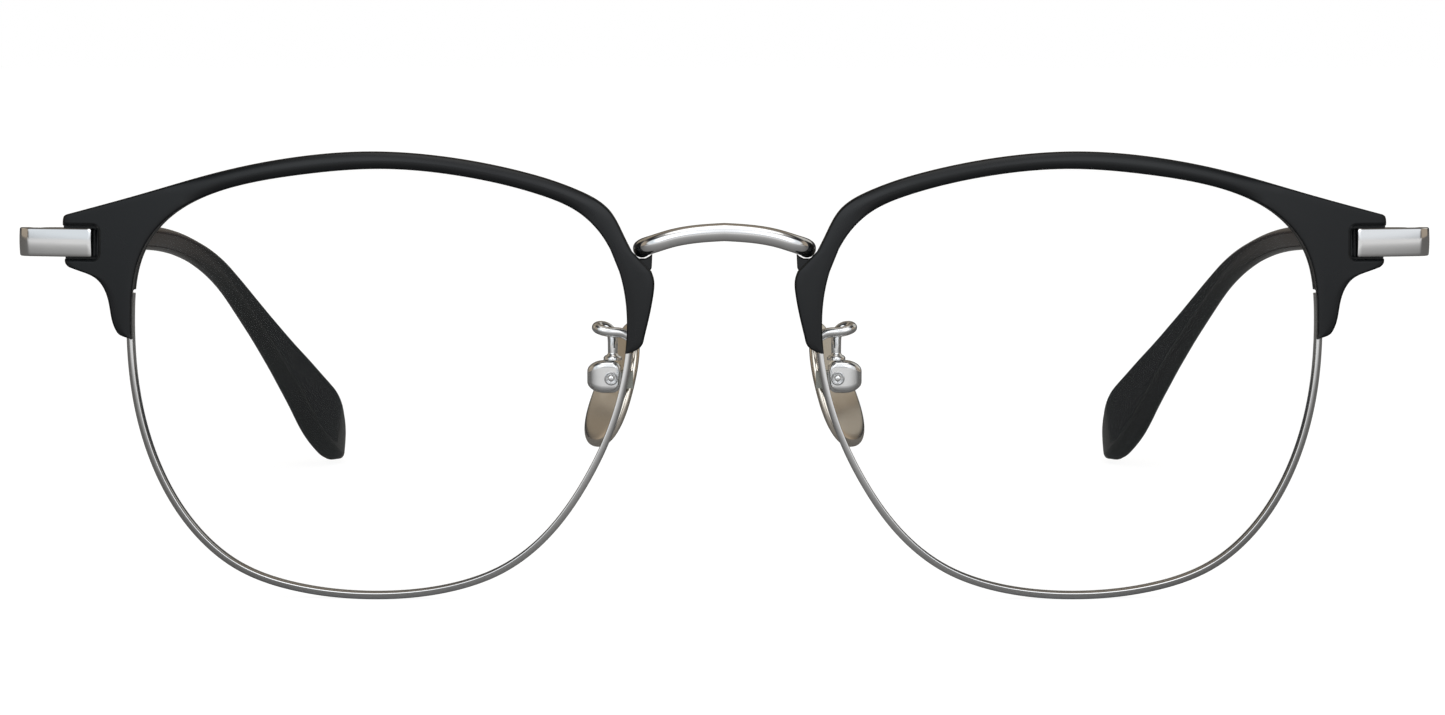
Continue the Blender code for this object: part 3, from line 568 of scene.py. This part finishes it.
def make_lens(side, mats):
    line, out = lens_line(240)
    mid = RIM_FRONT + RIM_DEPTH / 2
    half = LENS_THICK / 2
    edge = line - out * LENS_GAP
    middle = np.array(LENS_CENTRE)
    shares = [0.02, 0.12, 0.25, 0.4, 0.55, 0.7, 0.82, 0.92, 0.985, 0.998]
    rows = [(share, -half) for share in shares] + [(1.0, -LENS_EDGE_HALF)]
    rings = []
    for share, depth in rows:
        flat = middle + (edge - middle) * share
        rings.append([(x, wrap(x, z) + mid + depth, z) for x, z in flat])
    flat = edge + out * (GROOVE_DEPTH - LENS_GAP)
    rings.append([(x, wrap(x, z) + mid, z) for x, z in flat])
    for share, depth in reversed(rows):
        flat = middle + (edge - middle) * share
        rings.append([(x, wrap(x, z) + mid - depth, z) for x, z in flat])
    name = word(side)
    add_piece("clear_lens_" + name, skin(rings), mats["lens"], side, "front",
              ["lens_" + name], crease=25)


def pocket_dip(x, z):
    """How far the brow's face dips round the endpiece's pocket."""
    low_x, low_z, high_z = POCKET
    high_x = low_x + POCKET_LENGTH
    half_x, half_z = (high_x - low_x) / 2, (high_z - low_z) / 2
    off_x = np.abs(x - (low_x + high_x) / 2) - half_x + POCKET_CORNER
    off_z = np.abs(z - (low_z + high_z) / 2) - half_z + POCKET_CORNER
    outside = np.hypot(np.maximum(off_x, 0), np.maximum(off_z, 0))
    away = outside + np.minimum(np.maximum(off_x, off_z), 0) - POCKET_CORNER
    width, depth = POCKET_LIP
    return depth * np.clip(1 - away / width, 0, 1) ** 2


def pocket_cut():
    """The pocket's walls and flat floor."""
    low_x, low_z, high_z = POCKET
    mid_x, mid_z = low_x + POCKET_LENGTH / 2, (low_z + high_z) / 2
    outline = rounded_rect(POCKET_LENGTH, high_z - low_z, POCKET_CORNER, steps=8)
    rings = [[(mid_x + u, wrap(mid_x + u, mid_z + v) + depth, mid_z + v) for u, v in outline]
             for depth in (-3.0, POCKET_DEPTH)]
    return skin(rings)


def brow_surface(inner, outer):
    """One rib's closed ring: face with soft edges, then the back."""
    width = np.linalg.norm(outer - inner)
    radius = min(BROW_EDGE[0], width * BROW_EDGE[1])
    turns = np.linspace(0, math.pi / 2, 6)
    near = [(radius * (1 - math.cos(t)), radius * (1 - math.sin(t))) for t in turns]
    far = [(width - reach, depth) for reach, depth in near[::-1]]
    inside = np.concatenate([np.linspace(0, 0.45, 9)[1:], np.linspace(0.45, 0.62, 40)[1:],
                             np.linspace(0.62, 1, 30)[1:-1]])
    face = [(radius + (width - 2 * radius) * s, 0.0) for s in inside]
    rows = np.array([(0.0, BROW_THICK)] + near + face + far + [(width, BROW_THICK)])
    reach, depth = rows[:, 0], rows[:, 1]
    run = (outer - inner) / width
    x, z = inner[0] + run[0] * reach, inner[1] + run[1] * reach
    edge = np.minimum(reach, width - reach)
    narrow = np.clip(BROW_NARROW - width, 0, 1) * np.clip((outer[1] - BROW_TOP_Z) / 2, 0, 1)
    fall, near_edge = BROW_SOFTEN
    crown = fall * np.exp(-(edge / near_edge) ** 2)
    crown = crown + BROW_CROWN * narrow * (2 * reach / width - 1) ** 2
    front = depth < BROW_THICK - 0.01
    y = wrap(x, z) + depth + np.where(front, crown + pocket_dip(x, z), 0.0)
    return np.column_stack([x, np.minimum(y, wrap(x, z) + BROW_THICK), z])


def brow_rib_shares(which, count):
    """Shares of a run's length: even, but closer together where the long run widens."""
    if which != BROW_LONG_RUN:
        return np.linspace(0, 1, count)
    half = count // 2
    return np.concatenate([np.linspace(0, BROW_CLOSE_SHARE, half),
                           np.linspace(BROW_CLOSE_SHARE, 1, half)[1:]])


def make_brow(side, mats):
    fine, _ = lens_line(6000)
    rings = []
    for which, (run, count) in enumerate(zip(BROW_RUNS, BROW_RIBS)):
        ribs = np.array([out_point + in_point for out_point, in_point in run])
        for rib in at_shares(cubic(ribs), brow_rib_shares(which, count)):
            inner = fine[np.argmin(np.sum((fine - rib[2:]) ** 2, axis=1))]
            rings.append(brow_surface(inner, rib[:2]))
    name = word(side)
    add_piece("brow_plate_" + name, skin(rings), mats["black"], side, "front",
              ["brow_" + name], crease=50, cuts=(pocket_cut(),))


def make_bridge(mats):
    half = evenly(cubic(BRIDGE_PATH), 60)
    path = np.vstack([half[:0:-1] * np.array([-1, 1, 1]), half])
    rings = sweep(path, circle(BRIDGE_RADIUS - SHAVE, 40), across=(0, 1, 0))
    add_piece("bridge_tube", skin(rings), mats["silver"], 1, "front", ["bridge"],
              crease=50)


def make_web(side, mats):
    def place(x, z, depth):
        return (x, wrap(x, z) + depth, z)
    name = word(side)
    front = BROW_THICK + 0.05
    shape = prism(WEB_OUTLINE, [(front, 1.0), (front + 1.7, 1.0)], place)
    add_piece("bridge_web_" + name, shape, mats["black"], side, "front",
              ["bridge_mount_" + name], bevel=0.12)


def bar_path():
    """The endpiece's centre line: outwards in the brow's pocket, then back to the hinge."""
    sink = BAR_THICK / 2 - BAR_PROUD
    straight = [(x, wrap(x, BAR_Z) + sink) for x in np.linspace(BAR_START_X, BAR_BEND_START_X, 14)]
    end_x = BAR_OUTER_X - BAR_THICK / 2
    slope = math.atan2(straight[-1][1] - straight[-2][1], straight[-1][0] - straight[-2][0])
    centre_x = end_x - BAR_BEND
    start_x = centre_x + BAR_BEND * math.sin(slope)
    centre_y = wrap(start_x, BAR_Z) + sink + BAR_BEND * math.cos(slope)
    points = list(straight)
    for turn in np.linspace(slope - math.pi / 2, 0, 24):
        points.append((centre_x + BAR_BEND * math.cos(turn), centre_y + BAR_BEND * math.sin(turn)))
    points += [(end_x, y) for y in np.linspace(centre_y, HINGE_Y - PARTING_GAP, 12)[1:]]
    fall = (BAR_Z - HINGE_Z) / (HINGE_Y - centre_y)
    return [(x, y, BAR_Z - fall * max(y - centre_y, 0.0)) for x, y in points]


def soft_ends(rings, depth):
    """Shrink the first and last rings a little so that both ends have a bevel."""
    rings = [np.array(r, float) for r in rings]
    for first, second in ((0, 1), (-1, -2)):
        middle = rings[first].mean(axis=0)
        outward = middle - rings[second].mean(axis=0)
        outward = outward / np.linalg.norm(outward)
        spread = rings[first] - middle
        size = np.abs(spread).max()
        cap = middle + spread * (1 - depth / size)
        pulled = rings[first] - outward * depth
        rings[first] = pulled
        if first == 0:
            rings.insert(0, cap)
        else:
            rings.append(cap)
    return rings


def make_endpiece(side, mats):
    section = rounded_rect(BAR_THICK - 2 * BAR_CROWN - SHAVE, BAR_HEIGHT, 0.16, bulge=BAR_CROWN)
    rings = soft_ends(sweep(bar_path(), section, across=(0, -1, 0)), 0.1)
    name = word(side)
    add_piece("endpiece_bar_" + name, skin(rings), mats["silver"], side, "front",
              ["endpiece_" + name], crease=40)


def pivot():
    return (BAR_OUTER_X - BAR_THICK - PIVOT_INSET, HINGE_Y, HINGE_Z)


def hinge_outline(direction):
    """A knuckle's circle drawn out into a leaf along the bar; direction is -1 forwards."""
    px, py, _ = pivot()
    leaf_out = PIVOT_INSET - 0.05
    leaf_in = leaf_out - LEAF_THICK
    start = math.acos(leaf_in / KNUCKLE_RADIUS)
    turns = np.linspace(start, 2 * math.pi, 48)
    outline = [(KNUCKLE_RADIUS * math.cos(t), KNUCKLE_RADIUS * math.sin(t)) for t in turns]
    outline += [(leaf_out, PARTING_GAP), (leaf_out, LEAF_REACH), (leaf_in, LEAF_REACH)]
    return [(px + u, py + v * direction) for u, v in outline]


def make_hinge(side, mats):
    """Three knuckles on an upright slotted screw."""
    px, py, pz = pivot()
    name = word(side)

    def column(radius, low, high):
        return turned([(radius, pz + low), (radius, pz + high)], (px, py), upright)
    bore = column(HINGE_BORE, -3, 3)
    clear = TEMPLE_KNUCKLE_HALF + 0.2
    clearing = KNUCKLE_RADIUS + 0.1
    front = prism(hinge_outline(-1), [(pz - HINGE_HALF, 1.0), (pz + HINGE_HALF, 1.0)], upright)
    add_piece("front_knuckles_" + name, front, mats["silver"], side, "front",
              ["front_hinge_" + name], crease=35, bevel=0.05,
              cuts=(column(clearing, -clear, clear), bore))
    back = prism(hinge_outline(1), [(pz - TEMPLE_LEAF_HALF, 1.0), (pz + TEMPLE_LEAF_HALF, 1.0)], upright)
    add_piece("temple_knuckle_" + name, back, mats["silver"], side, "temple_" + name,
              ["temple_hinge_" + name], crease=35, bevel=0.05,
              cuts=(column(clearing, TEMPLE_KNUCKLE_HALF, 2), column(clearing, -2, -TEMPLE_KNUCKLE_HALF),
                    bore))
    top = HINGE_HALF + 0.03
    levels = [(0.38, -HINGE_HALF), (0.38, top), (0.8, top), (0.85, top + 0.05), (0.85, top + 0.16),
              (0.8, top + 0.23), (0.66, top + 0.28), (0.4, top + 0.3)]
    screw = turned([(radius, pz + height) for radius, height in levels], (px, py), upright)
    slot = brick((px - 1, py - 0.09, pz + top + 0.14), (px + 1, py + 0.09, pz + 3))
    add_piece("hinge_pin_" + name, screw, mats["silver"], side, "front",
              ["hinge_screw_" + name], crease=35, cuts=(slot,))


def make_closing_block(side, mats):
    """Two soft-edged blocks on the rim's ends, drawn together by a screw from below."""
    middle = (sum(BLOCK_X) / 2, sum(BLOCK_Y) / 2)
    outline = [(middle[0] + u, middle[1] + v) for u, v in
               rounded_rect(BLOCK_X[1] - BLOCK_X[0], BLOCK_Y[1] - BLOCK_Y[0], 0.22)]
    hole = turned([(0.46, RIM_SPLIT_Z - 3), (0.46, RIM_SPLIT_Z + 3)], middle, upright)
    name = word(side)
    gap = RIM_SPLIT_GAP / 2
    for which, low, high in (("upper", gap, BLOCK_HALF), ("lower", -BLOCK_HALF, -gap)):
        block = prism(outline, [(RIM_SPLIT_Z + low, 1.0), (RIM_SPLIT_Z + high, 1.0)], upright)
        add_piece(f"rim_block_{which}_{name}", block, mats["black"], side, "front",
                  [f"closing_block_{which}_{name}"], crease=35, bevel=0.07, cuts=(hole,))
    seat = RIM_SPLIT_Z - BLOCK_HALF - 0.05
    levels = [(0.45, seat - 0.4), (0.62, seat - 0.33), (0.7, seat - 0.2), (0.7, seat), (0.4, seat),
              (0.4, RIM_SPLIT_Z + BLOCK_HALF)]
    slot = brick((middle[0] - 1, middle[1] - 0.08, seat - 1), (middle[0] + 1, middle[1] + 0.08, seat - 0.2))
    add_piece("rim_block_screw_" + name, turned(levels, middle, upright), mats["silver"], side, "front",
              ["closing_screw_" + name], crease=35, cuts=(slot,))


# ---------------------------------------------------------------- temples
def frames_along(line):
    """Outward and lower-edge directions at each point; the lower edge stays in a Y-Z plane."""
    ahead = np.gradient(line, axis=0)
    ahead /= np.linalg.norm(ahead, axis=1)[:, None]
    lower = np.column_stack([np.zeros(len(line)), ahead[:, 2], -ahead[:, 1]])
    lower /= np.linalg.norm(lower, axis=1)[:, None]
    return np.cross(lower, ahead), lower


def ring_at(centre, out, lower, outline, shift=0.0):
    return np.array([centre + out * u + lower * (v + shift) for u, v in outline])


def make_temple_arm(side, mats):
    line = evenly(cubic(TEMPLE_PATH), 401)
    out, lower = frames_along(line)
    rings = []
    for i in range(0, int(400 * SLEEVE_START) + 3, 2):
        share = i / 400
        thick = np.interp(share, THINNING, (BAR_THICK, ARM_END_SIZE[0]))
        tall = np.interp(share, THINNING, (ARM_START_HEIGHT, ARM_END_SIZE[1]))
        section = rounded_rect(thick - 2 * ARM_CROWN - SHAVE, tall, 0.18, bulge=ARM_CROWN)
        rings.append(ring_at(line[i], out[i], lower[i], section))
    name = word(side)
    add_piece("temple_bar_" + name, skin(soft_ends(rings, 0.1)), mats["silver"], side,
              "temple_" + name, ["temple_arm_" + name], crease=40)


def tip_table(shares):
    table = np.array(TIP_SECTIONS)
    spread = np.linspace(-1, 1, 21)
    weight = (1 - spread ** 2) / np.sum(1 - spread ** 2)
    columns = []
    for k in (1, 2, 3):
        near = [np.interp(shares + TIP_BLEND * np.minimum(1, (1 - shares) / TIP_BLEND) * off,
                          table[:, 0], table[:, k]) for off in spread]
        columns.append(np.dot(weight, near))
    return np.column_stack(columns)


def make_temple_tip(side, mats):
    line = evenly(cubic(TEMPLE_PATH), 801)
    out, lower = frames_along(line)
    first = int(800 * SLEEVE_START) + 4
    stops = list(range(first, 700, 5)) + list(range(700, 801, 2))
    sizes = tip_table(np.array(stops) / 800)
    rings = []
    for i, (tall, thick, shift) in zip(stops, sizes):
        section = rounded_rect(thick - 0.1, tall - SHAVE, min(0.95, thick * 0.4), steps=7, bulge=0.05)
        rings.append(ring_at(line[i], out[i], lower[i], section, shift))
    mouth = rings[0]
    middle = mouth.mean(axis=0)
    rings = [middle + (mouth - middle) * (1 - inset) for inset in SLEEVE_INSETS] + rings
    name = word(side)
    add_piece("tip_sleeve_" + name, skin(rings), mats["acetate"], side, "temple_" + name,
              ["temple_tip_" + name], crease=50)


# ---------------------------------------------------------------- nose pads
def make_pad_arm(side, mats):
    path = evenly(cubic(PAD_ARM_PATH), 90)
    rings = sweep(path, circle(ARM_WIRE, 28), across=(0, 0, 1))
    x, y = path[-1][0], path[-1][1]
    ring = np.array(rings[-1]) - path[-1]
    ring[:, 2] = 0
    ring /= np.linalg.norm(ring, axis=1)[:, None]
    for radius, height in PAD_ARM_COLLAR:
        rings.append(np.array([x, y, height]) + ring * radius)
    name = word(side)
    add_piece("pad_wire_" + name, skin(rings), mats["silver"], side, "front",
              ["pad_arm_" + name], crease=50)


def make_pad_box(side, mats):
    """A box with a barrel-shaped outer end, slotted for the lug and countersunk for its screw."""
    px, py, pz = PIN_POINT
    mid_y, mid_z = sum(BOX_Y) / 2, sum(BOX_Z) / 2
    half_y, half_z = BOX_Y[1] - mid_y, BOX_Z[1] - mid_z
    rings = []
    for end, reach, way in ((BOX_X[0], BOX_INNER_ROUND, -1), (BOX_X[1], BOX_OUTER_ROUND, 1)):
        turns = np.linspace(0, math.pi / 2, 14)[::way]
        for turn in turns:
            drop = 1 - math.cos(turn)
            x = end - way * reach[0] * (1 - math.sin(turn))
            wide, tall = half_y - reach[1] * drop, half_z - reach[2] * drop
            outline = rounded_rect(2 * wide, 2 * tall, min(BOX_EDGE, 0.9 * wide), steps=6)
            rings.append([(x, mid_y + u, mid_z + v) for u, v in outline])
    half, closed_end, tall = BOX_SLOT
    slot = brick((px - 3, py - half, pz - tall), (closed_end, py + half, pz + tall))
    front, back = BOX_Y
    sink = turned([(0.7, front - 1), (0.7, front + 0.02), (0.48, front + 0.3), (0.4, front + 0.31),
                   (0.4, back + 1)], (px, pz), facing)
    name = word(side)
    add_piece("pad_clasp_" + name, skin(rings), mats["silver"], side, "front",
              ["pad_box_" + name], crease=35, cuts=(slot, sink))
    pin = turned([(0.1, front - 0.02), (0.24, front), (0.35, front + 0.08), (0.4, front + 0.2),
                  (0.36, front + 0.22), (0.36, back)], (px, pz), facing)
    add_piece("pad_pin_" + name, pin, mats["silver"], side, "front",
              ["pad_screw_" + name], crease=45)


def pad_frame():
    """Directions of the left pad: across its face from front to back, up it, and outwards."""
    across = np.array([math.sin(PAD_SPLAY), math.cos(PAD_SPLAY), 0.0])
    out = np.array([math.cos(PAD_SPLAY), -math.sin(PAD_SPLAY), 0.0])
    lean, level = math.sin(PAD_LEAN), math.cos(PAD_LEAN)
    up = np.array([0.0, 0.0, 1.0]) * level - out * lean
    return across, up, out * level + np.array([0.0, 0.0, 1.0]) * lean


def pad_outline(count=96):
    points = []
    for k in range(count):
        turn = 2 * math.pi * k / count
        u, v = math.cos(turn), math.sin(turn)
        half_width, taper = PAD_FRONT if u < 0 else PAD_REAR
        u = math.copysign(abs(u) ** 0.85, u) * (1 - taper * v)
        points.append((u * half_width, math.copysign(abs(v) ** 0.9, v) * PAD_HEIGHT / 2))
    return points


def make_nose_pad(side, mats):
    across, up, out = pad_frame()
    centre = np.array(PAD_CENTRE)
    outline = pad_outline()
    half = PAD_THICK / 2
    rings = []
    turns = np.linspace(0, math.pi, 19)
    inner = [0.03, 0.15, 0.3, 0.45, 0.6, 0.72]
    edge = [(0.8 + 0.2 * math.sin(t) ** 0.8, half * math.cos(t)) for t in turns]
    rows = [(s, half) for s in inner] + edge + [(s, -half) for s in reversed(inner)]
    for grow, depth in rows:
        rings.append([centre + across * u * grow + up * v * grow + out * depth for u, v in outline])
    name = word(side)
    add_piece("nose_pad_plate_" + name, skin(rings), mats["pad"], side, "nose_pad_" + name,
              ["nose_pad_" + name], crease=60)


# ---------------------------------------------------------------- CAD nodes that stay
def dress_kept_nodes(mats):
    """The washers and lugs keep their CAD shapes."""
    for side in (1, -1):
        for node, mat in (("hinge_washer_upper", "nylon"), ("hinge_washer_lower", "nylon"),
                          ("pad_lug", "lug_metal")):
            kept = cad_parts[f"{node}_{word(side)}"]
            kept.data.materials.clear()
            kept.data.materials.append(mats[mat])
            if node == "pad_lug":
                soften(kept, 0.08)


# ---------------------------------------------------------------- studio
# Soft panels that light the object and show in its polish: azimuth from behind the camera towards
# +X, elevation, angle of the even part, angle where the panel ends, colour.
PANELS = [
    (0, 31, 15, 40, (1.00, 1.02, 1.05)),
    (32, 20, 19, 30, (0.84, 0.87, 0.90)),
    (-32, 20, 19, 30, (0.78, 0.83, 0.87)),
    (88, 8, 20, 38, (0.36, 0.30, 0.23)),
    (-88, 8, 20, 38, (0.36, 0.30, 0.23)),
    (0, 78, 14, 36, (0.42, 0.40, 0.37)),
    (180, 10, 6, 18, (0.16, 0.14, 0.115)),
    (180, 55, 12, 34, (0.22, 0.18, 0.13)),
    (126, 34, 14, 28, (0.50, 0.49, 0.45)),
    (-126, 34, 14, 28, (0.26, 0.22, 0.16))]
STUDIO_DIM = (0.035, 0.035, 0.037)
FLOOR_HALF = 9.0
FLOOR_ALBEDO = 0.2
FLOOR_IN_VIEW = 0.93
FLOOR_SHEEN = (0.04, 0.30, 0.62)     # where the glow before the object starts and is full, strength
FLOOR_SPREAD = 0.5                   # how fast the glow's start moves off to each side

LAMP_PLACE = (0.0, -0.35, 1.2)
LAMP_SIZE = 0.9
LAMP_POWER = 2.2
CAMERA_LENS = 99.65
CAMERA_X = -0.0002
CAMERA_BEFORE = 398.786              # millimetres before the front
CAMERA_Z = 0.056097
CAMERA_DOWN = 4.4653                 # degrees


def toward(azimuth, elevation):
    az, el = math.radians(azimuth), math.radians(elevation)
    return (math.sin(az) * math.cos(el), -math.cos(az) * math.cos(el), math.sin(el))


def make_floor():
    """A plain floor: white in view, dimmer as a source of light, and darkest behind the object."""
    mesh = bpy.data.meshes.new("studio_floor")
    half = FLOOR_HALF
    corners = [(-half, -half, 0), (half, -half, 0), (half, half, 0), (-half, half, 0)]
    mesh.from_pydata(corners, [], [(0, 1, 2, 3)])
    floor = bpy.data.objects.new("studio_floor", mesh)
    bpy.context.collection.objects.link(floor)
    made = Nodes("pale_floor", (FLOOR_ALBEDO,) * 3, 0.0, 0.9)
    path = made.node("ShaderNodeLightPath")
    reach = made.node("ShaderNodeSeparateXYZ")
    made.link(made.place(), reach.inputs["Vector"])
    aside = made.node("ShaderNodeMath", operation="ABSOLUTE")
    made.link(reach.outputs["X"], aside.inputs[0])
    ahead = made.node("ShaderNodeMath", operation="MULTIPLY_ADD")
    ahead.inputs[1].default_value = FLOOR_SPREAD
    made.link(aside.outputs["Value"], ahead.inputs[0])
    made.link(reach.outputs["Y"], ahead.inputs[2])
    near, far, sheen = FLOOR_SHEEN
    glow = made.node("ShaderNodeMix")
    made.link(path.outputs["Is Camera Ray"], glow.inputs["Factor"])
    made.link(made.ramp(ahead.outputs["Value"], 0.0, sheen, -near, -far), glow.inputs["A"])
    glow.inputs["B"].default_value = FLOOR_IN_VIEW
    made.shader.inputs["Emission Color"].default_value = (1.0, 1.0, 1.0, 1.0)
    made.link(glow.outputs["Result"], made.shader.inputs["Emission Strength"])
    mesh.materials.append(made.mat)


def make_world():
    """White in view; elsewhere a dim room with soft panels round it."""
    world = bpy.data.worlds.new("studio")
    bpy.context.scene.world = world
    world.use_nodes = True
    tree = world.node_tree
    coords = tree.nodes.new("ShaderNodeTexCoord")
    total = None
    for azimuth, elevation, inner, outer, colour in PANELS:
        dot = tree.nodes.new("ShaderNodeVectorMath")
        dot.operation = "DOT_PRODUCT"
        dot.inputs[1].default_value = toward(azimuth, elevation)
        tree.links.new(coords.outputs["Generated"], dot.inputs[0])
        fade = tree.nodes.new("ShaderNodeMapRange")
        fade.interpolation_type = "SMOOTHSTEP"
        fade.inputs["From Min"].default_value = math.cos(math.radians(outer))
        fade.inputs["From Max"].default_value = math.cos(math.radians(inner))
        tree.links.new(dot.outputs["Value"], fade.inputs["Value"])
        tint = tree.nodes.new("ShaderNodeVectorMath")
        tint.operation = "MULTIPLY_ADD"
        tint.inputs[0].default_value = colour
        tint.inputs[2].default_value = STUDIO_DIM
        tree.links.new(fade.outputs["Result"], tint.inputs[1])
        if total is not None:
            tree.links.new(total, tint.inputs[2])
        total = tint.outputs["Vector"]
    room = tree.nodes["Background"]
    tree.links.new(total, room.inputs["Color"])
    plain = tree.nodes.new("ShaderNodeBackground")
    plain.inputs["Color"].default_value = (1.0, 1.0, 1.0, 1.0)
    path = tree.nodes.new("ShaderNodeLightPath")
    mix = tree.nodes.new("ShaderNodeMixShader")
    tree.links.new(path.outputs["Is Camera Ray"], mix.inputs["Fac"])
    tree.links.new(room.outputs["Background"], mix.inputs[1])
    tree.links.new(plain.outputs["Background"], mix.inputs[2])
    tree.links.new(mix.outputs["Shader"], tree.nodes["World Output"].inputs["Surface"])


def make_lights():
    """A broad soft lamp overhead."""
    data = bpy.data.lights.new("overhead", "AREA")
    data.shape = "DISK"
    data.size = LAMP_SIZE
    data.energy = LAMP_POWER
    lamp = bpy.data.objects.new("overhead", data)
    lamp.location = LAMP_PLACE
    lamp.rotation_euler = (-Vector(LAMP_PLACE)).to_track_quat("-Z", "Y").to_euler()
    bpy.context.collection.objects.link(lamp)


def make_camera():
    data = bpy.data.cameras.new("camera")
    data.sensor_width = 36.0
    data.lens = CAMERA_LENS
    data.clip_start = 0.01
    camera = bpy.data.objects.new("camera", data)
    camera.location = (CAMERA_X, -(CAMERA_BEFORE + FRONT_Y) * MM, CAMERA_Z)
    camera.rotation_euler = (math.radians(90 - CAMERA_DOWN), 0, 0)
    bpy.context.collection.objects.link(camera)
    bpy.context.scene.camera = camera


def build():
    mats = make_materials()
    make_bridge(mats)
    for side in (1, -1):
        make_rim(side, mats)
        make_lens(side, mats)
        make_brow(side, mats)
        make_web(side, mats)
        make_endpiece(side, mats)
        make_hinge(side, mats)
        make_closing_block(side, mats)
        make_temple_arm(side, mats)
        make_temple_tip(side, mats)
        make_pad_arm(side, mats)
        make_pad_box(side, mats)
        make_nose_pad(side, mats)
    dress_kept_nodes(mats)
    make_floor()
    make_world()
    make_lights()
    make_camera()
    bpy.context.scene.view_settings.view_transform = "Standard"


build()
